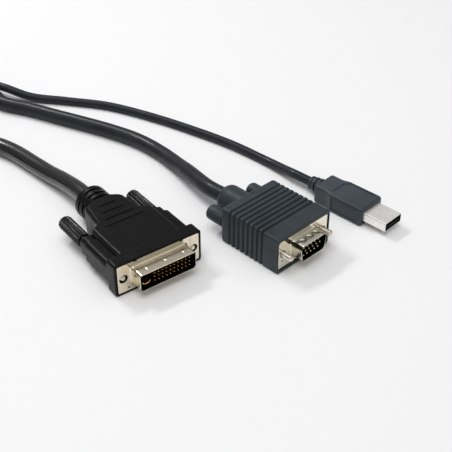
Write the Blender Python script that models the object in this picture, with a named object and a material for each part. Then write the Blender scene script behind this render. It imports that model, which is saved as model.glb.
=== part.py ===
"""A projector lead: one thick cable with a 30-pin digital plug, split into a 15-pin video plug and a USB plug.

Metres, +Z up. The three plugs lie on the floor at z = 0, and the origin is the middle of their footprint.
Each plug is built in its own frame: x across its width, -y the way it is pushed in, z up from the floor.
"""

import math

import bmesh
import bpy
from mathutils import Matrix, Vector

MM = 0.001

# Clearances
GAP = 0.3 * MM
PIN_GAP = 0.12 * MM
EMBED = 0.6 * MM
THROUGH = 1.0 * MM

# Where each plug's front face stands on the floor, and its turn about +Z
BIG_PLUG_AT = (-43.0 * MM, -10.8 * MM)
BIG_PLUG_TURN = 0.0
VIDEO_PLUG_AT = (13.5 * MM, -36.4 * MM)
VIDEO_PLUG_TURN = 7.5
USB_PLUG_AT = (56.4 * MM, -33.4 * MM)
USB_PLUG_TURN = 9.2

# 30-pin plug, moulded body
BIG_SCREW_SPACING = 34.4 * MM
BIG_PLATE_EDGE = 2.8 * MM
BIG_RIM = 1.25 * MM
RAIL_WIDTH = 7.8 * MM
RAIL_SUNK = 2.1 * MM
BIG_PLATE_WIDTH = BIG_SCREW_SPACING + 2 * BIG_PLATE_EDGE
BIG_FLANGE_WIDTH = BIG_PLATE_WIDTH + 2 * BIG_RIM
BIG_BODY_WIDTH = BIG_SCREW_SPACING - RAIL_WIDTH + 2 * RAIL_SUNK
BIG_HEIGHT = 16.0 * MM
BIG_FLANGE_DEPTH = 6.3 * MM
BIG_FLANGE_RADIUS = 1.5 * MM
BIG_BODY_INSET = 0.5 * MM
BIG_BODY_RADIUS = 1.8 * MM
BIG_BODY_STRAIGHT = 28.0 * MM
BIG_WAIST_WIDTH = 23.0 * MM
BIG_WAIST_END = 31.0 * MM
BIG_SHOULDER_WIDTH = 20.8 * MM
BIG_SHOULDER_END = 36.5 * MM
BIG_NECK_WIDTH = 19.4 * MM
BIG_NECK_END = 44.0 * MM
BIG_NECK_RADIUS = 2.4 * MM
BIG_THROAT = 1.2 * MM
BIG_THROAT_WIDTH = 16.0 * MM
BIG_THROAT_RADIUS = 4.5 * MM
BIG_COLLAR_START = 47.5 * MM
BIG_COLLAR_LENGTH = 9.5 * MM
BIG_COLLAR_ROUND = 0.9 * MM
BIG_SLOT_WIDTH = 1.2 * MM
BIG_SLOT_DEPTH = 1.5 * MM
BIG_SLOT_STARTS = (1.9 * MM, 5.2 * MM)
BIG_SLOT_BRIDGE = 24.0
BIG_BAR_WIDTH = 2.2 * MM
BIG_BAR_PROUD = 0.35 * MM
BIG_BARS = ((27.0 * MM, 19.0 * MM), (31.5 * MM, 14.4 * MM), (36.5 * MM, 11.0 * MM), (41.5 * MM, 8.0 * MM))
RAIL_HEIGHT = 10.8 * MM
RAIL_RADIUS = 2.4 * MM
RAIL_STEP_AT = 23.8 * MM
RAIL_STEP = 0.7 * MM
RAIL_END = 29.0 * MM

# 30-pin plug, metal and contacts
BIG_PLATE_HEIGHT = 13.6 * MM
BIG_PLATE_THICK = 0.6 * MM
BIG_PLATE_RADIUS = 0.7 * MM
BIG_SHELL_WIDTH = 27.4 * MM
BIG_SHELL_HEIGHT = 8.6 * MM
BIG_SHELL_REACH = 7.0 * MM
BIG_SHELL_WALL = 0.5 * MM
BIG_SHELL_TOP_RADIUS = 1.3 * MM
BIG_SHELL_LOW_RADIUS = 2.3 * MM
BIG_SHELL_FLARE = 0.8 * MM
BIG_DIMPLE_X = 9.0 * MM
BIG_DIMPLE_Y = -4.2 * MM
BIG_DIMPLE_RADIUS = 0.7 * MM
BIG_EARTH_HOLE = (-14.9 * MM, -5.3 * MM)
EARTH_HOLE_RADIUS = 0.45 * MM
BIG_PIN_COLUMNS = 10
BIG_PIN_ROWS = 3
BIG_PIN_PITCH = 1.905 * MM
BIG_PIN_FIRST = -6.2 * MM
BIG_PIN_WIDTH = 0.72 * MM
BIG_PIN_HEIGHT = 0.5 * MM
BIG_PIN_TIP = -6.2 * MM
BIG_CARRIER_FRONT = -1.2 * MM
BIG_CARRIER_LENGTH = 9.2 * MM
BIG_CARRIER_FLANGE = 2.0 * MM
BIG_CARRIER_FLANGE_HEIGHT = 9.4 * MM
BLADE_MIDDLE = -10.3 * MM
BLADE_WIDTH = 4.2 * MM
BLADE_THICK = 0.6 * MM
BLADE_DROP = -1.5 * MM
BLADE_SAG = 1.0 * MM
BIG_CAN_WIDTH = 27.0 * MM
BIG_CAN_HEIGHT = 11.0 * MM
BIG_CAN_WALL = 0.4 * MM
BIG_CAN_END = 26.0 * MM
BIG_CABLE_END = 40.0 * MM

# Jackscrews and thumb knobs
SCREW_RADIUS = 1.42 * MM
SCREW_IN_KNOB = 6.0 * MM
BIG_SCREW_TIP = 0.2 * MM
BIG_KNOB_NECK_RADIUS = 2.5 * MM
BIG_KNOB_NECK = 2.7 * MM
BIG_KNOB_RADIUS = 3.35 * MM
BIG_KNOB_LENGTH = 17.0 * MM
BIG_KNOB_FLUTES = 12
BIG_KNOB_FLUTE_DEPTH = 0.5 * MM
VIDEO_SCREW_TIP = -4.6 * MM
VIDEO_KNOB_RADIUS = 3.6 * MM
VIDEO_KNOB_LENGTH = 10.4 * MM
VIDEO_KNOB_ROUND = 1.6 * MM

# 15-pin plug
VIDEO_SCREW_SPACING = 24.99 * MM
VIDEO_PLATE_EDGE = 3.0 * MM
VIDEO_RIM = 0.9 * MM
VIDEO_PLATE_WIDTH = VIDEO_SCREW_SPACING + 2 * VIDEO_PLATE_EDGE
VIDEO_WIDTH = VIDEO_PLATE_WIDTH + 2 * VIDEO_RIM
VIDEO_HEIGHT = 17.8 * MM
VIDEO_LENGTH = 33.8 * MM
VIDEO_RADIUS = 1.3 * MM
VIDEO_FRONT_BLOCK = 8.6 * MM
VIDEO_GROOVES = 8
VIDEO_GROOVE_PITCH = 2.75 * MM
VIDEO_GROOVE_WIDTH = 1.2 * MM
VIDEO_GROOVE_DEPTH = 0.8 * MM
VIDEO_RELIEF_RADIUS = 6.8 * MM
VIDEO_RELIEF_LENGTH = 14.2 * MM
VIDEO_RELIEF_ROUND = 3.4 * MM
VIDEO_GATE_AT = (1.8 * MM, 31.9 * MM)
VIDEO_GATE_RADIUS = 0.5 * MM
VIDEO_PLATE_HEIGHT = 14.2 * MM
VIDEO_PLATE_THICK = 0.5 * MM
VIDEO_PLATE_RADIUS = 1.3 * MM
VIDEO_PLATE_AT = 0.5 * MM
VIDEO_SHELL_WIDTH = 16.92 * MM
VIDEO_SHELL_HEIGHT = 8.36 * MM
VIDEO_SHELL_SLOPE = 10.0
VIDEO_SHELL_RADIUS = 2.4 * MM
VIDEO_SHELL_REACH = 6.0 * MM
VIDEO_SHELL_WALL = 0.5 * MM
VIDEO_SHELL_FLARE = 0.7 * MM
VIDEO_DIMPLE_X = 4.3 * MM
VIDEO_DIMPLE_BACK = 2.9 * MM
VIDEO_DIMPLE_RADIUS = 1.7 * MM
DIMPLE_DEPTH = 0.28 * MM
VIDEO_EARTH_HOLE = (-12.9 * MM, -3.4 * MM)
VIDEO_PIN_COLUMNS = 5
VIDEO_PIN_ROWS = 3
VIDEO_PIN_PITCH = 2.29 * MM
VIDEO_ROW_PITCH = 1.98 * MM
VIDEO_PIN_RADIUS = 0.38 * MM
VIDEO_PIN_TIP = -4.6 * MM
VIDEO_CARRIER_FRONT = 0.2 * MM
VIDEO_CARRIER_END = 7.0 * MM
VIDEO_CARRIER_FLANGE = 1.9 * MM
VIDEO_CARRIER_FLANGE_WIDTH = 18.8 * MM
VIDEO_CARRIER_FLANGE_HEIGHT = 10.6 * MM
VIDEO_PREMOULD_WIDTH = 19.2 * MM
VIDEO_PREMOULD_HEIGHT = 10.8 * MM
VIDEO_PREMOULD_END = 27.0 * MM
VIDEO_CABLE_END = 42.0 * MM

# USB plug
USB_WIDTH = 15.6 * MM
USB_HEIGHT = 9.4 * MM
USB_RADIUS = 1.3 * MM
USB_NOSE_ROUND = 1.2 * MM
USB_WIDE_END = 18.0 * MM
USB_WAIST_START = 21.0 * MM
USB_WAIST_WIDTH = 13.4 * MM
USB_LENGTH = 28.0 * MM
USB_PANEL_DEPTH = 0.35 * MM
USB_PANEL_MARGIN = 1.5 * MM
USB_PANEL_FRONT = 2.6 * MM
USB_PANEL_END = 19.0 * MM
USB_RELIEF_RADIUS = 3.9 * MM
USB_RELIEF_END_RADIUS = 3.3 * MM
USB_RELIEF_CORE = 2.9 * MM
USB_RELIEF_RIBS = 3
USB_RELIEF_PITCH = 2.3 * MM
USB_RELIEF_RIB = 1.4 * MM
USB_SHELL_WIDTH = 12.0 * MM
USB_SHELL_HEIGHT = 4.5 * MM
USB_SHELL_REACH = 12.0 * MM
USB_SHELL_LENGTH = 18.75 * MM
USB_SHELL_WALL = 0.35 * MM
USB_SHELL_RADIUS = 0.6 * MM
USB_WINDOW_X = 2.6 * MM
USB_WINDOW_Y = -4.2 * MM
USB_WINDOW_WIDTH = 2.3 * MM
USB_WINDOW_LENGTH = 2.0 * MM
USB_TONGUE_THICK = 1.6 * MM
USB_TONGUE_BACK = 0.4 * MM
USB_CONTACT_X = (-3.5 * MM, -1.0 * MM, 1.0 * MM, 3.5 * MM)
USB_CONTACT_WIDTH = 1.0 * MM
USB_CONTACT_THICK = 0.3 * MM
USB_CONTACT_BACK = 1.1 * MM
USB_PREMOULD_WIDTH = 10.6 * MM
USB_PREMOULD_HEIGHT = 5.0 * MM
USB_PREMOULD_LENGTH = 13.0 * MM
USB_CABLE_END = 28.5 * MM

# Cables
TRUNK_DIAMETER = 8.5 * MM
VIDEO_CABLE_DIAMETER = 7.4 * MM
USB_CABLE_DIAMETER = 4.5 * MM
ROUTE_SPACING = 2.0

# Coil of the trunk cable and its tie
COIL_CENTRE = (-101.2 * MM, 200.4 * MM)
COIL_RADIUS = 42.5 * MM
COIL_COLUMNS = 2
COIL_LAYERS = 3
TIE_THICK = 1.0 * MM
TIE_WIDTH = 6.0 * MM
TIE_ANGLE = 150.0
TIE_HEAD = 4.0 * MM

# Splitter where the trunk cable becomes two
SPLITTER_INLET = (-44.6 * MM, 211.7 * MM)
SPLITTER_HEADING = -68.0
SPLITTER_LENGTH = 30.0 * MM
SPLITTER_HEIGHT = 11.0 * MM
SPLITTER_NECK_WIDTH = 11.6 * MM
SPLITTER_WIDTH = 19.0 * MM
SPLITTER_RADIUS = 3.6 * MM
SPLITTER_VIDEO_OFFSET = -4.2 * MM
SPLITTER_USB_OFFSET = 5.4 * MM

# Routes over the floor, in millimetres, after the straight length that leaves each plug
TRUNK_ROUTE = (
    (-43.6, 70.0, 6.2),
    (-45.0, 82.0, 4.7),
    (-46.8, 95.0, 4.25),
    (-49.8, 112.0, 4.25),
    (-55.2, 125.0, 4.4),
    (-65.2, 136.1, 4.9),
    (-78.2, 142.7, 5.4),
    (-91.4, 144.7, 5.5),
    (-99.3, 144.8, 5.55),
)
TAIL_ROUTE = (
    (-70.1, 246.6, 10.5),
    (-61.1, 239.1, 7.8),
    (-54.3, 230.9, 6.0),
)
VIDEO_ROUTE = (
    (7.4, 40.0, 6.8),
    (9.0, 52.0, 4.6),
    (9.2, 68.0, 3.7),
    (6.6, 84.0, 3.7),
    (1.2, 99.0, 3.7),
    (-5.6, 113.5, 3.7),
    (-14.0, 130.0, 3.7),
    (-22.8, 147.5, 3.7),
    (-31.2, 161.5, 4.0),
)
USB_ROUTE = (
    (49.0, 19.0, 3.4),
    (48.0, 32.0, 2.3),
    (43.8, 54.0, 2.25),
    (37.0, 76.0, 2.25),
    (27.5, 101.0, 2.25),
    (14.5, 127.0, 2.25),
    (-1.5, 146.5, 2.25),
    (-14.8, 160.6, 2.9),
)
STRAIGHT_OUT = 11.0 * MM
STRAIGHT_IN = 12.0 * MM

CORNER_STEPS = 4
ROUND_STEPS = 20
FINE_ROUND = 24

BLACK = ("black_pvc", (0.012, 0.012, 0.014), 0.42, 0.0)
SLATE = ("slate_pvc", (0.035, 0.042, 0.052), 0.5, 0.0)
TRUNK_JACKET = ("trunk_jacket", (0.014, 0.014, 0.016), 0.32, 0.0)
BRANCH_JACKET = ("branch_jacket", (0.03, 0.034, 0.04), 0.45, 0.0)
TIN = ("tinned_steel", (0.72, 0.68, 0.58), 0.28, 1.0)
NICKEL = ("nickel_steel", (0.74, 0.72, 0.68), 0.22, 1.0)
GOLD = ("gold_plate", (0.9, 0.55, 0.2), 0.25, 1.0)
CARRIER = ("carrier_plastic", (0.01, 0.01, 0.01), 0.6, 0.0)
PREMOULD = ("premould_plastic", (0.75, 0.73, 0.66), 0.6, 0.0)


def clear_scene():
    for obj in list(bpy.data.objects):
        bpy.data.objects.remove(obj, do_unlink=True)


def material(spec):
    name, colour, roughness, metallic = spec
    made = bpy.data.materials.get(name)
    if made is None:
        made = bpy.data.materials.new(name)
        made.use_nodes = True
        shader = made.node_tree.nodes["Principled BSDF"]
        shader.inputs["Base Color"].default_value = (*colour, 1.0)
        shader.inputs["Roughness"].default_value = roughness
        shader.inputs["Metallic"].default_value = metallic
        made.diffuse_color = (*colour, 1.0)
    return made


def empty_at(name, place, degrees):
    """The frame of one plug: all of its pieces are its children."""
    frame = bpy.data.objects.new(name, None)
    frame.location = (place[0], place[1], 0.0)
    frame.rotation_euler = (0.0, 0.0, math.radians(degrees))
    bpy.context.collection.objects.link(frame)
    return frame


def solid(name, form, spec, parent=None, origin=(0.0, 0.0, 0.0)):
    """One node from a bmesh. The mesh is given in the parent's frame, and origin is where the node's own origin goes."""
    bmesh.ops.translate(form, verts=form.verts, vec=-Vector(origin))
    bmesh.ops.recalc_face_normals(form, faces=form.faces)
    mesh = bpy.data.meshes.new(name)
    form.to_mesh(mesh)
    form.free()
    mesh.shade_smooth()
    mesh.set_sharp_from_angle(angle=math.radians(38.0))
    mesh.materials.append(material(spec))
    obj = bpy.data.objects.new(name, mesh)
    obj.location = origin
    obj.parent = parent
    bpy.context.collection.objects.link(obj)
    return obj


def shape(target, form, operation):
    """Adds or cuts a hidden form on the target, both in the same frame."""
    helper = solid(f"{target.name}.{operation.lower()}{len(target.modifiers)}", form, BLACK, target.parent)
    helper.hide_render = True
    helper.display_type = "WIRE"
    step = target.modifiers.new(helper.name, "BOOLEAN")
    step.operation = operation
    step.object = helper
    step.solver = "EXACT"
    return helper


def cut(target, form):
    return shape(target, form, "DIFFERENCE")


def add(target, form):
    return shape(target, form, "UNION")


def rounded_polygon(corners, radii, steps=CORNER_STEPS):
    """The corners' outline with each corner turned into an arc of steps + 1 points."""
    points = []
    for i, corner in enumerate(corners):
        here = Vector(corner)
        before = (Vector(corners[i - 1]) - here).normalized()
        after = (Vector(corners[(i + 1) % len(corners)]) - here).normalized()
        half = math.acos(max(-1.0, min(1.0, before.dot(after)))) / 2
        middle = here + (before + after).normalized() * (radii[i] / math.sin(half))
        start = here + before * (radii[i] / math.tan(half)) - middle
        end = here + after * (radii[i] / math.tan(half)) - middle
        sweep = start.angle_signed(end)
        for k in range(steps + 1):
            turn = Matrix.Rotation(-sweep * k / steps, 2)
            points.append(middle + turn @ start)
    return points


def rounded_box(width, low, high, radius, middle=0.0, steps=CORNER_STEPS):
    half = width / 2
    corners = ((middle - half, low), (middle + half, low), (middle + half, high), (middle - half, high))
    return rounded_polygon(corners, (radius,) * 4, steps)


def circle(radius, middle=(0.0, 0.0), steps=ROUND_STEPS):
    """A circle that starts where rounded_box starts, so that the two join without a twist."""
    first = -0.75 * math.pi - math.pi / 4 * (1 - 4 / steps)
    turns = [first + 2 * math.pi * k / steps for k in range(steps)]
    return [Vector((middle[0] + radius * math.cos(a), middle[1] + radius * math.sin(a))) for a in turns]


def offset_outline(points, distance):
    """Each point of a closed outline moved inwards along the mean normal of its two sides."""
    moved = []
    for i, point in enumerate(points):
        before = (point - points[i - 1]).normalized()
        after = (points[(i + 1) % len(points)] - point).normalized()
        along = (before + after).normalized()
        moved.append(point + Vector((-along.y, along.x)) * distance)
    return moved


def loft(stations):
    """A closed form through (y, outline) stations, each outline of as many (x, z) points, capped at both ends."""
    made = bmesh.new()
    rows = [[made.verts.new((p[0], y, p[1])) for p in outline] for y, outline in stations]
    for front, back in zip(rows, rows[1:]):
        for i in range(len(front)):
            made.faces.new((front[i - 1], front[i], back[i], back[i - 1]))
    made.faces.new(rows[0])
    made.faces.new(rows[-1])
    bmesh.ops.recalc_face_normals(made, faces=made.faces)
    return made


def bar(outline, front, back):
    return loft(((front, outline), (back, outline)))


def box(x_low, x_high, y_low, y_high, z_low, z_high):
    made = bmesh.new()
    size = (x_high - x_low, y_high - y_low, z_high - z_low)
    middle = ((x_low + x_high) / 2, (y_low + y_high) / 2, (z_low + z_high) / 2)
    bmesh.ops.create_cube(made, size=1.0, matrix=Matrix.LocRotScale(middle, None, size))
    return made


def rod(x, z, radius, front, back, steps=ROUND_STEPS):
    return bar(circle(radius, (x, z), steps), front, back)


def collected(forms):
    """Several separate closed forms in one bmesh, as one cutter or one addition."""
    whole = bmesh.new()
    for form in forms:
        mesh = bpy.data.meshes.new("form")
        form.to_mesh(mesh)
        form.free()
        whole.from_mesh(mesh)
        bpy.data.meshes.remove(mesh)
    return whole


def dent(x, y, surface, radius, depth):
    """A shallow bowl let into a top surface, closed by a lid above that surface."""
    made = bmesh.new()
    steps = 16
    levels = [(1.0, surface + depth)] + [(s, surface - depth * (1 - s * s)) for s in (1.0, 0.75, 0.5, 0.25)]
    rows = []
    for share, z in levels:
        turns = [2 * math.pi * k / steps for k in range(steps)]
        across = radius * share
        rows.append([made.verts.new((x + across * math.cos(a), y + across * math.sin(a), z)) for a in turns])
    for upper, lower in zip(rows, rows[1:]):
        for i in range(steps):
            made.faces.new((upper[i - 1], upper[i], lower[i], lower[i - 1]))
    made.faces.new(rows[0])
    made.faces.new(rows[-1])
    return made


def ring_sector(radius_in, radius_out, front, back, height, start, end, steps=8):
    """A block bent round the plug's own axis, from one angle to another."""
    turns = [math.radians(start + (end - start) * k / steps) for k in range(steps + 1)]
    inner = [Vector((radius_in * math.cos(a), height + radius_in * math.sin(a))) for a in turns]
    outer = [Vector((radius_out * math.cos(a), height + radius_out * math.sin(a))) for a in reversed(turns)]
    return bar(inner + outer, front, back)


# The big plug


def big_middle():
    return BIG_HEIGHT / 2


def big_shell_outline(shrink=0.0):
    half, middle = BIG_SHELL_WIDTH / 2, big_middle()
    low, high = middle - BIG_SHELL_HEIGHT / 2, middle + BIG_SHELL_HEIGHT / 2
    corners = ((-half, low), (half, low), (half, high), (-half, high))
    radii = (BIG_SHELL_LOW_RADIUS, BIG_SHELL_LOW_RADIUS, BIG_SHELL_TOP_RADIUS, BIG_SHELL_TOP_RADIUS)
    return offset_outline(rounded_polygon(corners, radii), shrink)


def big_overmould(plug):
    high, inset = BIG_HEIGHT, BIG_BODY_INSET
    edge = BIG_FLANGE_RADIUS / 3
    collar_end = BIG_COLLAR_START + BIG_COLLAR_LENGTH
    collar = BIG_HEIGHT / 2
    middle = (0.0, big_middle())

    def body(width, radius=BIG_BODY_RADIUS):
        return rounded_box(width, inset, high - inset, radius)

    def flange(shrink):
        return rounded_box(BIG_FLANGE_WIDTH - 2 * shrink, shrink, high - shrink, BIG_FLANGE_RADIUS)

    stations = (
        (0.0, flange(edge)),
        (edge, flange(0.0)),
        (BIG_FLANGE_DEPTH - edge, flange(0.0)),
        (BIG_FLANGE_DEPTH, flange(edge)),
        (BIG_FLANGE_DEPTH, body(BIG_BODY_WIDTH)),
        (BIG_BODY_STRAIGHT, body(BIG_BODY_WIDTH)),
        (BIG_WAIST_END, body(BIG_WAIST_WIDTH)),
        (BIG_SHOULDER_END, body(BIG_SHOULDER_WIDTH)),
        (BIG_NECK_END, body(BIG_NECK_WIDTH, BIG_NECK_RADIUS)),
        (BIG_COLLAR_START - BIG_THROAT, body(BIG_THROAT_WIDTH, BIG_THROAT_RADIUS)),
        (BIG_COLLAR_START, circle(collar - BIG_THROAT, middle)),
        (BIG_COLLAR_START, circle(collar - BIG_COLLAR_ROUND, middle)),
        (BIG_COLLAR_START + BIG_COLLAR_ROUND, circle(collar, middle)),
        (collar_end - BIG_COLLAR_ROUND, circle(collar, middle)),
        (collar_end, circle(collar - BIG_COLLAR_ROUND, middle)),
    )
    part = solid("big_plug_overmould", loft(stations), BLACK, plug)
    for side in (-1, 1):
        add(part, big_rail(side * BIG_SCREW_SPACING / 2))
    add(part, collected(big_grip_bars()))
    cut(part, collected(big_collar_slots(collar)))
    recess = rounded_box(
        BIG_PLATE_WIDTH + 2 * GAP,
        big_middle() - BIG_PLATE_HEIGHT / 2 - GAP,
        big_middle() + BIG_PLATE_HEIGHT / 2 + GAP,
        BIG_PLATE_RADIUS + GAP,
    )
    cut(part, bar(recess, -THROUGH, BIG_PLATE_THICK + GAP))
    cavity = can_outline(GAP)
    cut(part, bar(cavity, 0.0, BIG_CAN_END + GAP))
    cut(part, rod(0.0, big_middle(), TRUNK_DIAMETER / 2 + GAP, BIG_CAN_END - THROUGH, BIG_CABLE_END + GAP))
    for side in (-1, 1):
        channel = SCREW_RADIUS + GAP
        cut(part, rod(side * BIG_SCREW_SPACING / 2, big_middle(), channel, -THROUGH, RAIL_END + THROUGH))
    return part


def big_rail(x):
    """The raised channel that a jackscrew runs through, with a smaller step at its rear."""
    low, high = big_middle() - RAIL_HEIGHT / 2, big_middle() + RAIL_HEIGHT / 2

    def section(shrink):
        return rounded_box(RAIL_WIDTH - 2 * shrink, low + shrink, high - shrink, RAIL_RADIUS, x)

    return loft(
        (
            (BIG_FLANGE_DEPTH - EMBED, section(0.0)),
            (RAIL_STEP_AT, section(0.0)),
            (RAIL_STEP_AT + RAIL_STEP, section(RAIL_STEP)),
            (RAIL_END - RAIL_STEP / 2, section(RAIL_STEP)),
            (RAIL_END, section(1.5 * RAIL_STEP)),
        )
    )


def big_grip_bars():
    low, high = BIG_BODY_INSET, BIG_HEIGHT - BIG_BODY_INSET
    for y, length in BIG_BARS:
        for surface, outer in ((high - EMBED, high + BIG_BAR_PROUD), (low - BIG_BAR_PROUD, low + EMBED)):
            yield box(-length / 2, length / 2, y - BIG_BAR_WIDTH / 2, y + BIG_BAR_WIDTH / 2, surface, outer)


def big_collar_slots(collar):
    for start in BIG_SLOT_STARTS:
        front = BIG_COLLAR_START + start
        for quarter in range(4):
            first = 90.0 * quarter + 45.0 + BIG_SLOT_BRIDGE / 2
            last = first + 90.0 - BIG_SLOT_BRIDGE
            yield ring_sector(
                collar - BIG_SLOT_DEPTH, collar + THROUGH, front, front + BIG_SLOT_WIDTH, big_middle(), first, last
            )


def can_outline(grow):
    middle = big_middle()
    half = BIG_CAN_HEIGHT / 2 + grow
    return rounded_box(BIG_CAN_WIDTH + 2 * grow, middle - half, middle + half, 1.2 * MM + grow)


def big_shell(plug):
    """The drawn plate and the shell round the contacts, one pressed piece."""
    middle = big_middle()
    plate = rounded_box(
        BIG_PLATE_WIDTH, middle - BIG_PLATE_HEIGHT / 2, middle + BIG_PLATE_HEIGHT / 2, BIG_PLATE_RADIUS
    )
    part = solid("big_plug_shell", bar(plate, 0.0, BIG_PLATE_THICK), TIN, plug)
    add(
        part,
        loft(
            (
                (-BIG_SHELL_REACH, big_shell_outline(0.12 * MM)),
                (-BIG_SHELL_REACH + 0.25 * MM, big_shell_outline()),
                (-BIG_SHELL_FLARE, big_shell_outline()),
                (-BIG_SHELL_FLARE / 3, big_shell_outline(-BIG_SHELL_FLARE / 3)),
                (BIG_PLATE_THICK / 2, big_shell_outline(-BIG_SHELL_FLARE)),
            )
        ),
    )
    cut(part, bar(big_shell_outline(BIG_SHELL_WALL), -BIG_SHELL_REACH - THROUGH, BIG_PLATE_THICK + THROUGH))
    holes = [
        rod(side * BIG_SCREW_SPACING / 2, middle, SCREW_RADIUS + 2 * GAP, -THROUGH, BIG_PLATE_THICK + THROUGH)
        for side in (-1, 1)
    ]
    x, z = BIG_EARTH_HOLE
    holes.append(rod(x, middle + z, EARTH_HOLE_RADIUS, -THROUGH, BIG_PLATE_THICK + THROUGH))
    cut(part, collected(holes))
    top = middle + BIG_SHELL_HEIGHT / 2
    dimples = [
        dent(x, BIG_DIMPLE_Y, top, BIG_DIMPLE_RADIUS, DIMPLE_DEPTH)
        for x in (-BIG_DIMPLE_X, 0.0, BIG_DIMPLE_X)
    ]
    cut(part, collected(dimples))
    return part


def blade_outline(grow=0.0):
    """The curved section of the earth blade: an arc that sags in its middle."""
    half = BLADE_WIDTH / 2 + grow
    bend = (half * half + BLADE_SAG * BLADE_SAG) / (2 * BLADE_SAG)
    centre = Vector((BLADE_MIDDLE, big_middle() + BLADE_DROP + bend))
    reach = math.asin(half / bend)
    turns = [-math.pi / 2 + reach * (k / 4 - 1) for k in range(9)]
    thick = BLADE_THICK / 2 + grow
    outer = [centre + (bend + thick) * Vector((math.cos(a), math.sin(a))) for a in turns]
    inner = [centre + (bend - thick) * Vector((math.cos(a), math.sin(a))) for a in reversed(turns)]
    return outer + inner


def big_contacts(plug):
    """The contact carrier with its thirty pins fused to it, and the separate earth blade."""
    middle = big_middle()
    face = big_shell_outline(BIG_SHELL_WALL + GAP)
    back = BIG_CARRIER_FRONT + BIG_CARRIER_LENGTH
    carrier = solid("big_plug_contact_carrier", bar(face, BIG_CARRIER_FRONT, back), CARRIER, plug)
    flange_front = BIG_PLATE_THICK + GAP
    flange = rounded_box(
        BIG_CAN_WIDTH - 2 * BIG_CAN_WALL - 2 * GAP,
        middle - BIG_CARRIER_FLANGE_HEIGHT / 2,
        middle + BIG_CARRIER_FLANGE_HEIGHT / 2,
        0.8 * MM,
    )
    add(carrier, bar(flange, flange_front, flange_front + BIG_CARRIER_FLANGE))
    pins = []
    for row in range(BIG_PIN_ROWS):
        z = middle + (row - (BIG_PIN_ROWS - 1) / 2) * BIG_PIN_PITCH
        for column in range(BIG_PIN_COLUMNS):
            pins.append(big_pin(BIG_PIN_FIRST + column * BIG_PIN_PITCH, z))
    add(carrier, collected(pins))
    cut(carrier, bar(blade_outline(PIN_GAP), BIG_CARRIER_FRONT - THROUGH, back + THROUGH))
    blade = solid("big_plug_earth_blade", bar(blade_outline(), BIG_PIN_TIP, back), GOLD, plug)
    return carrier, blade


def big_pin(x, z):
    taper = 0.6

    def section(scale):
        width, height = BIG_PIN_WIDTH * scale / 2, BIG_PIN_HEIGHT * scale / 2
        return [Vector(p) for p in ((x - width, z - height), (x + width, z - height), (x + width, z + height), (x - width, z + height))]

    return loft(
        (
            (BIG_PIN_TIP, section(taper)),
            (BIG_PIN_TIP + BIG_PIN_WIDTH, section(1.0)),
            (BIG_CARRIER_FRONT + EMBED, section(1.0)),
        )
    )


def big_inner(plug):
    """The shield can behind the plate, and the mould inside it that holds the soldered wires."""
    middle = big_middle()
    front = BIG_PLATE_THICK + GAP
    wall = BIG_CAN_WALL
    can = solid("big_plug_shield_can", bar(can_outline(0.0), front, BIG_CAN_END), TIN, plug)
    cut(can, bar(can_outline(-wall), front - THROUGH, BIG_CAN_END - wall))
    cut(can, rod(0.0, middle, TRUNK_DIAMETER / 2 + GAP, BIG_CAN_END - THROUGH, BIG_CAN_END + THROUGH))
    start = BIG_CARRIER_FRONT + BIG_CARRIER_LENGTH + GAP
    block = bar(can_outline(-wall - GAP), start, BIG_CAN_END - wall - GAP)
    premould = solid("big_plug_inner_mould", block, PREMOULD, plug)
    add(premould, rod(0.0, middle, TRUNK_DIAMETER / 2, BIG_CAN_END - 2 * THROUGH, BIG_CABLE_END))
    return can, premould


def fluted(radius, depth, middle, flutes, steps):
    """An outline with lengthwise flutes; steps is a multiple of the flutes."""
    each = steps // flutes
    points = []
    for k, point in enumerate(circle(1.0, (0.0, 0.0), steps)):
        low = k % each >= each // 2
        points.append(Vector(middle) + point * (radius - depth if low else radius))
    return points


def thumbscrew(plug, name, x, z, tip, knob_front, sections, knob_spec):
    """A steel screw with a moulded knob on its rear, both on the axis that they turn about."""
    origin = (x, knob_front, z)
    screw_end = knob_front + SCREW_IN_KNOB
    chamfer = SCREW_RADIUS / 4
    screw = loft(
        (
            (tip, circle(SCREW_RADIUS - chamfer, (x, z))),
            (tip + chamfer, circle(SCREW_RADIUS, (x, z))),
            (screw_end, circle(SCREW_RADIUS, (x, z))),
        )
    )
    solid(f"{name}_screw", screw, NICKEL, plug, origin)
    knob = solid(f"{name}_knob", loft(sections), knob_spec, plug, origin)
    hole = rod(x, z, SCREW_RADIUS + PIN_GAP, knob_front - THROUGH, screw_end + GAP)
    helper = cut(knob, hole)
    helper.parent = plug
    return knob


def big_thumbscrews(plug):
    steps = BIG_KNOB_FLUTES * 4
    front = RAIL_END + GAP
    shoulder = front + BIG_KNOB_NECK
    end = shoulder + BIG_KNOB_LENGTH
    edge = BIG_KNOB_FLUTE_DEPTH
    for side, word in ((-1, "left"), (1, "right")):
        middle = (side * BIG_SCREW_SPACING / 2, big_middle())

        def flutes(shrink, depth):
            return fluted(BIG_KNOB_RADIUS - shrink, depth, middle, BIG_KNOB_FLUTES, steps)

        sections = (
            (front, circle(BIG_KNOB_NECK_RADIUS, middle, steps)),
            (shoulder, circle(BIG_KNOB_NECK_RADIUS, middle, steps)),
            (shoulder, flutes(edge, 0.0)),
            (shoulder + edge, flutes(0.0, edge)),
            (end - edge, flutes(0.0, edge)),
            (end, flutes(edge, 0.0)),
        )
        thumbscrew(plug, f"big_plug_{word}", *middle, BIG_SCREW_TIP, front, sections, BLACK)


# The video plug


def video_middle():
    return VIDEO_HEIGHT / 2


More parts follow.
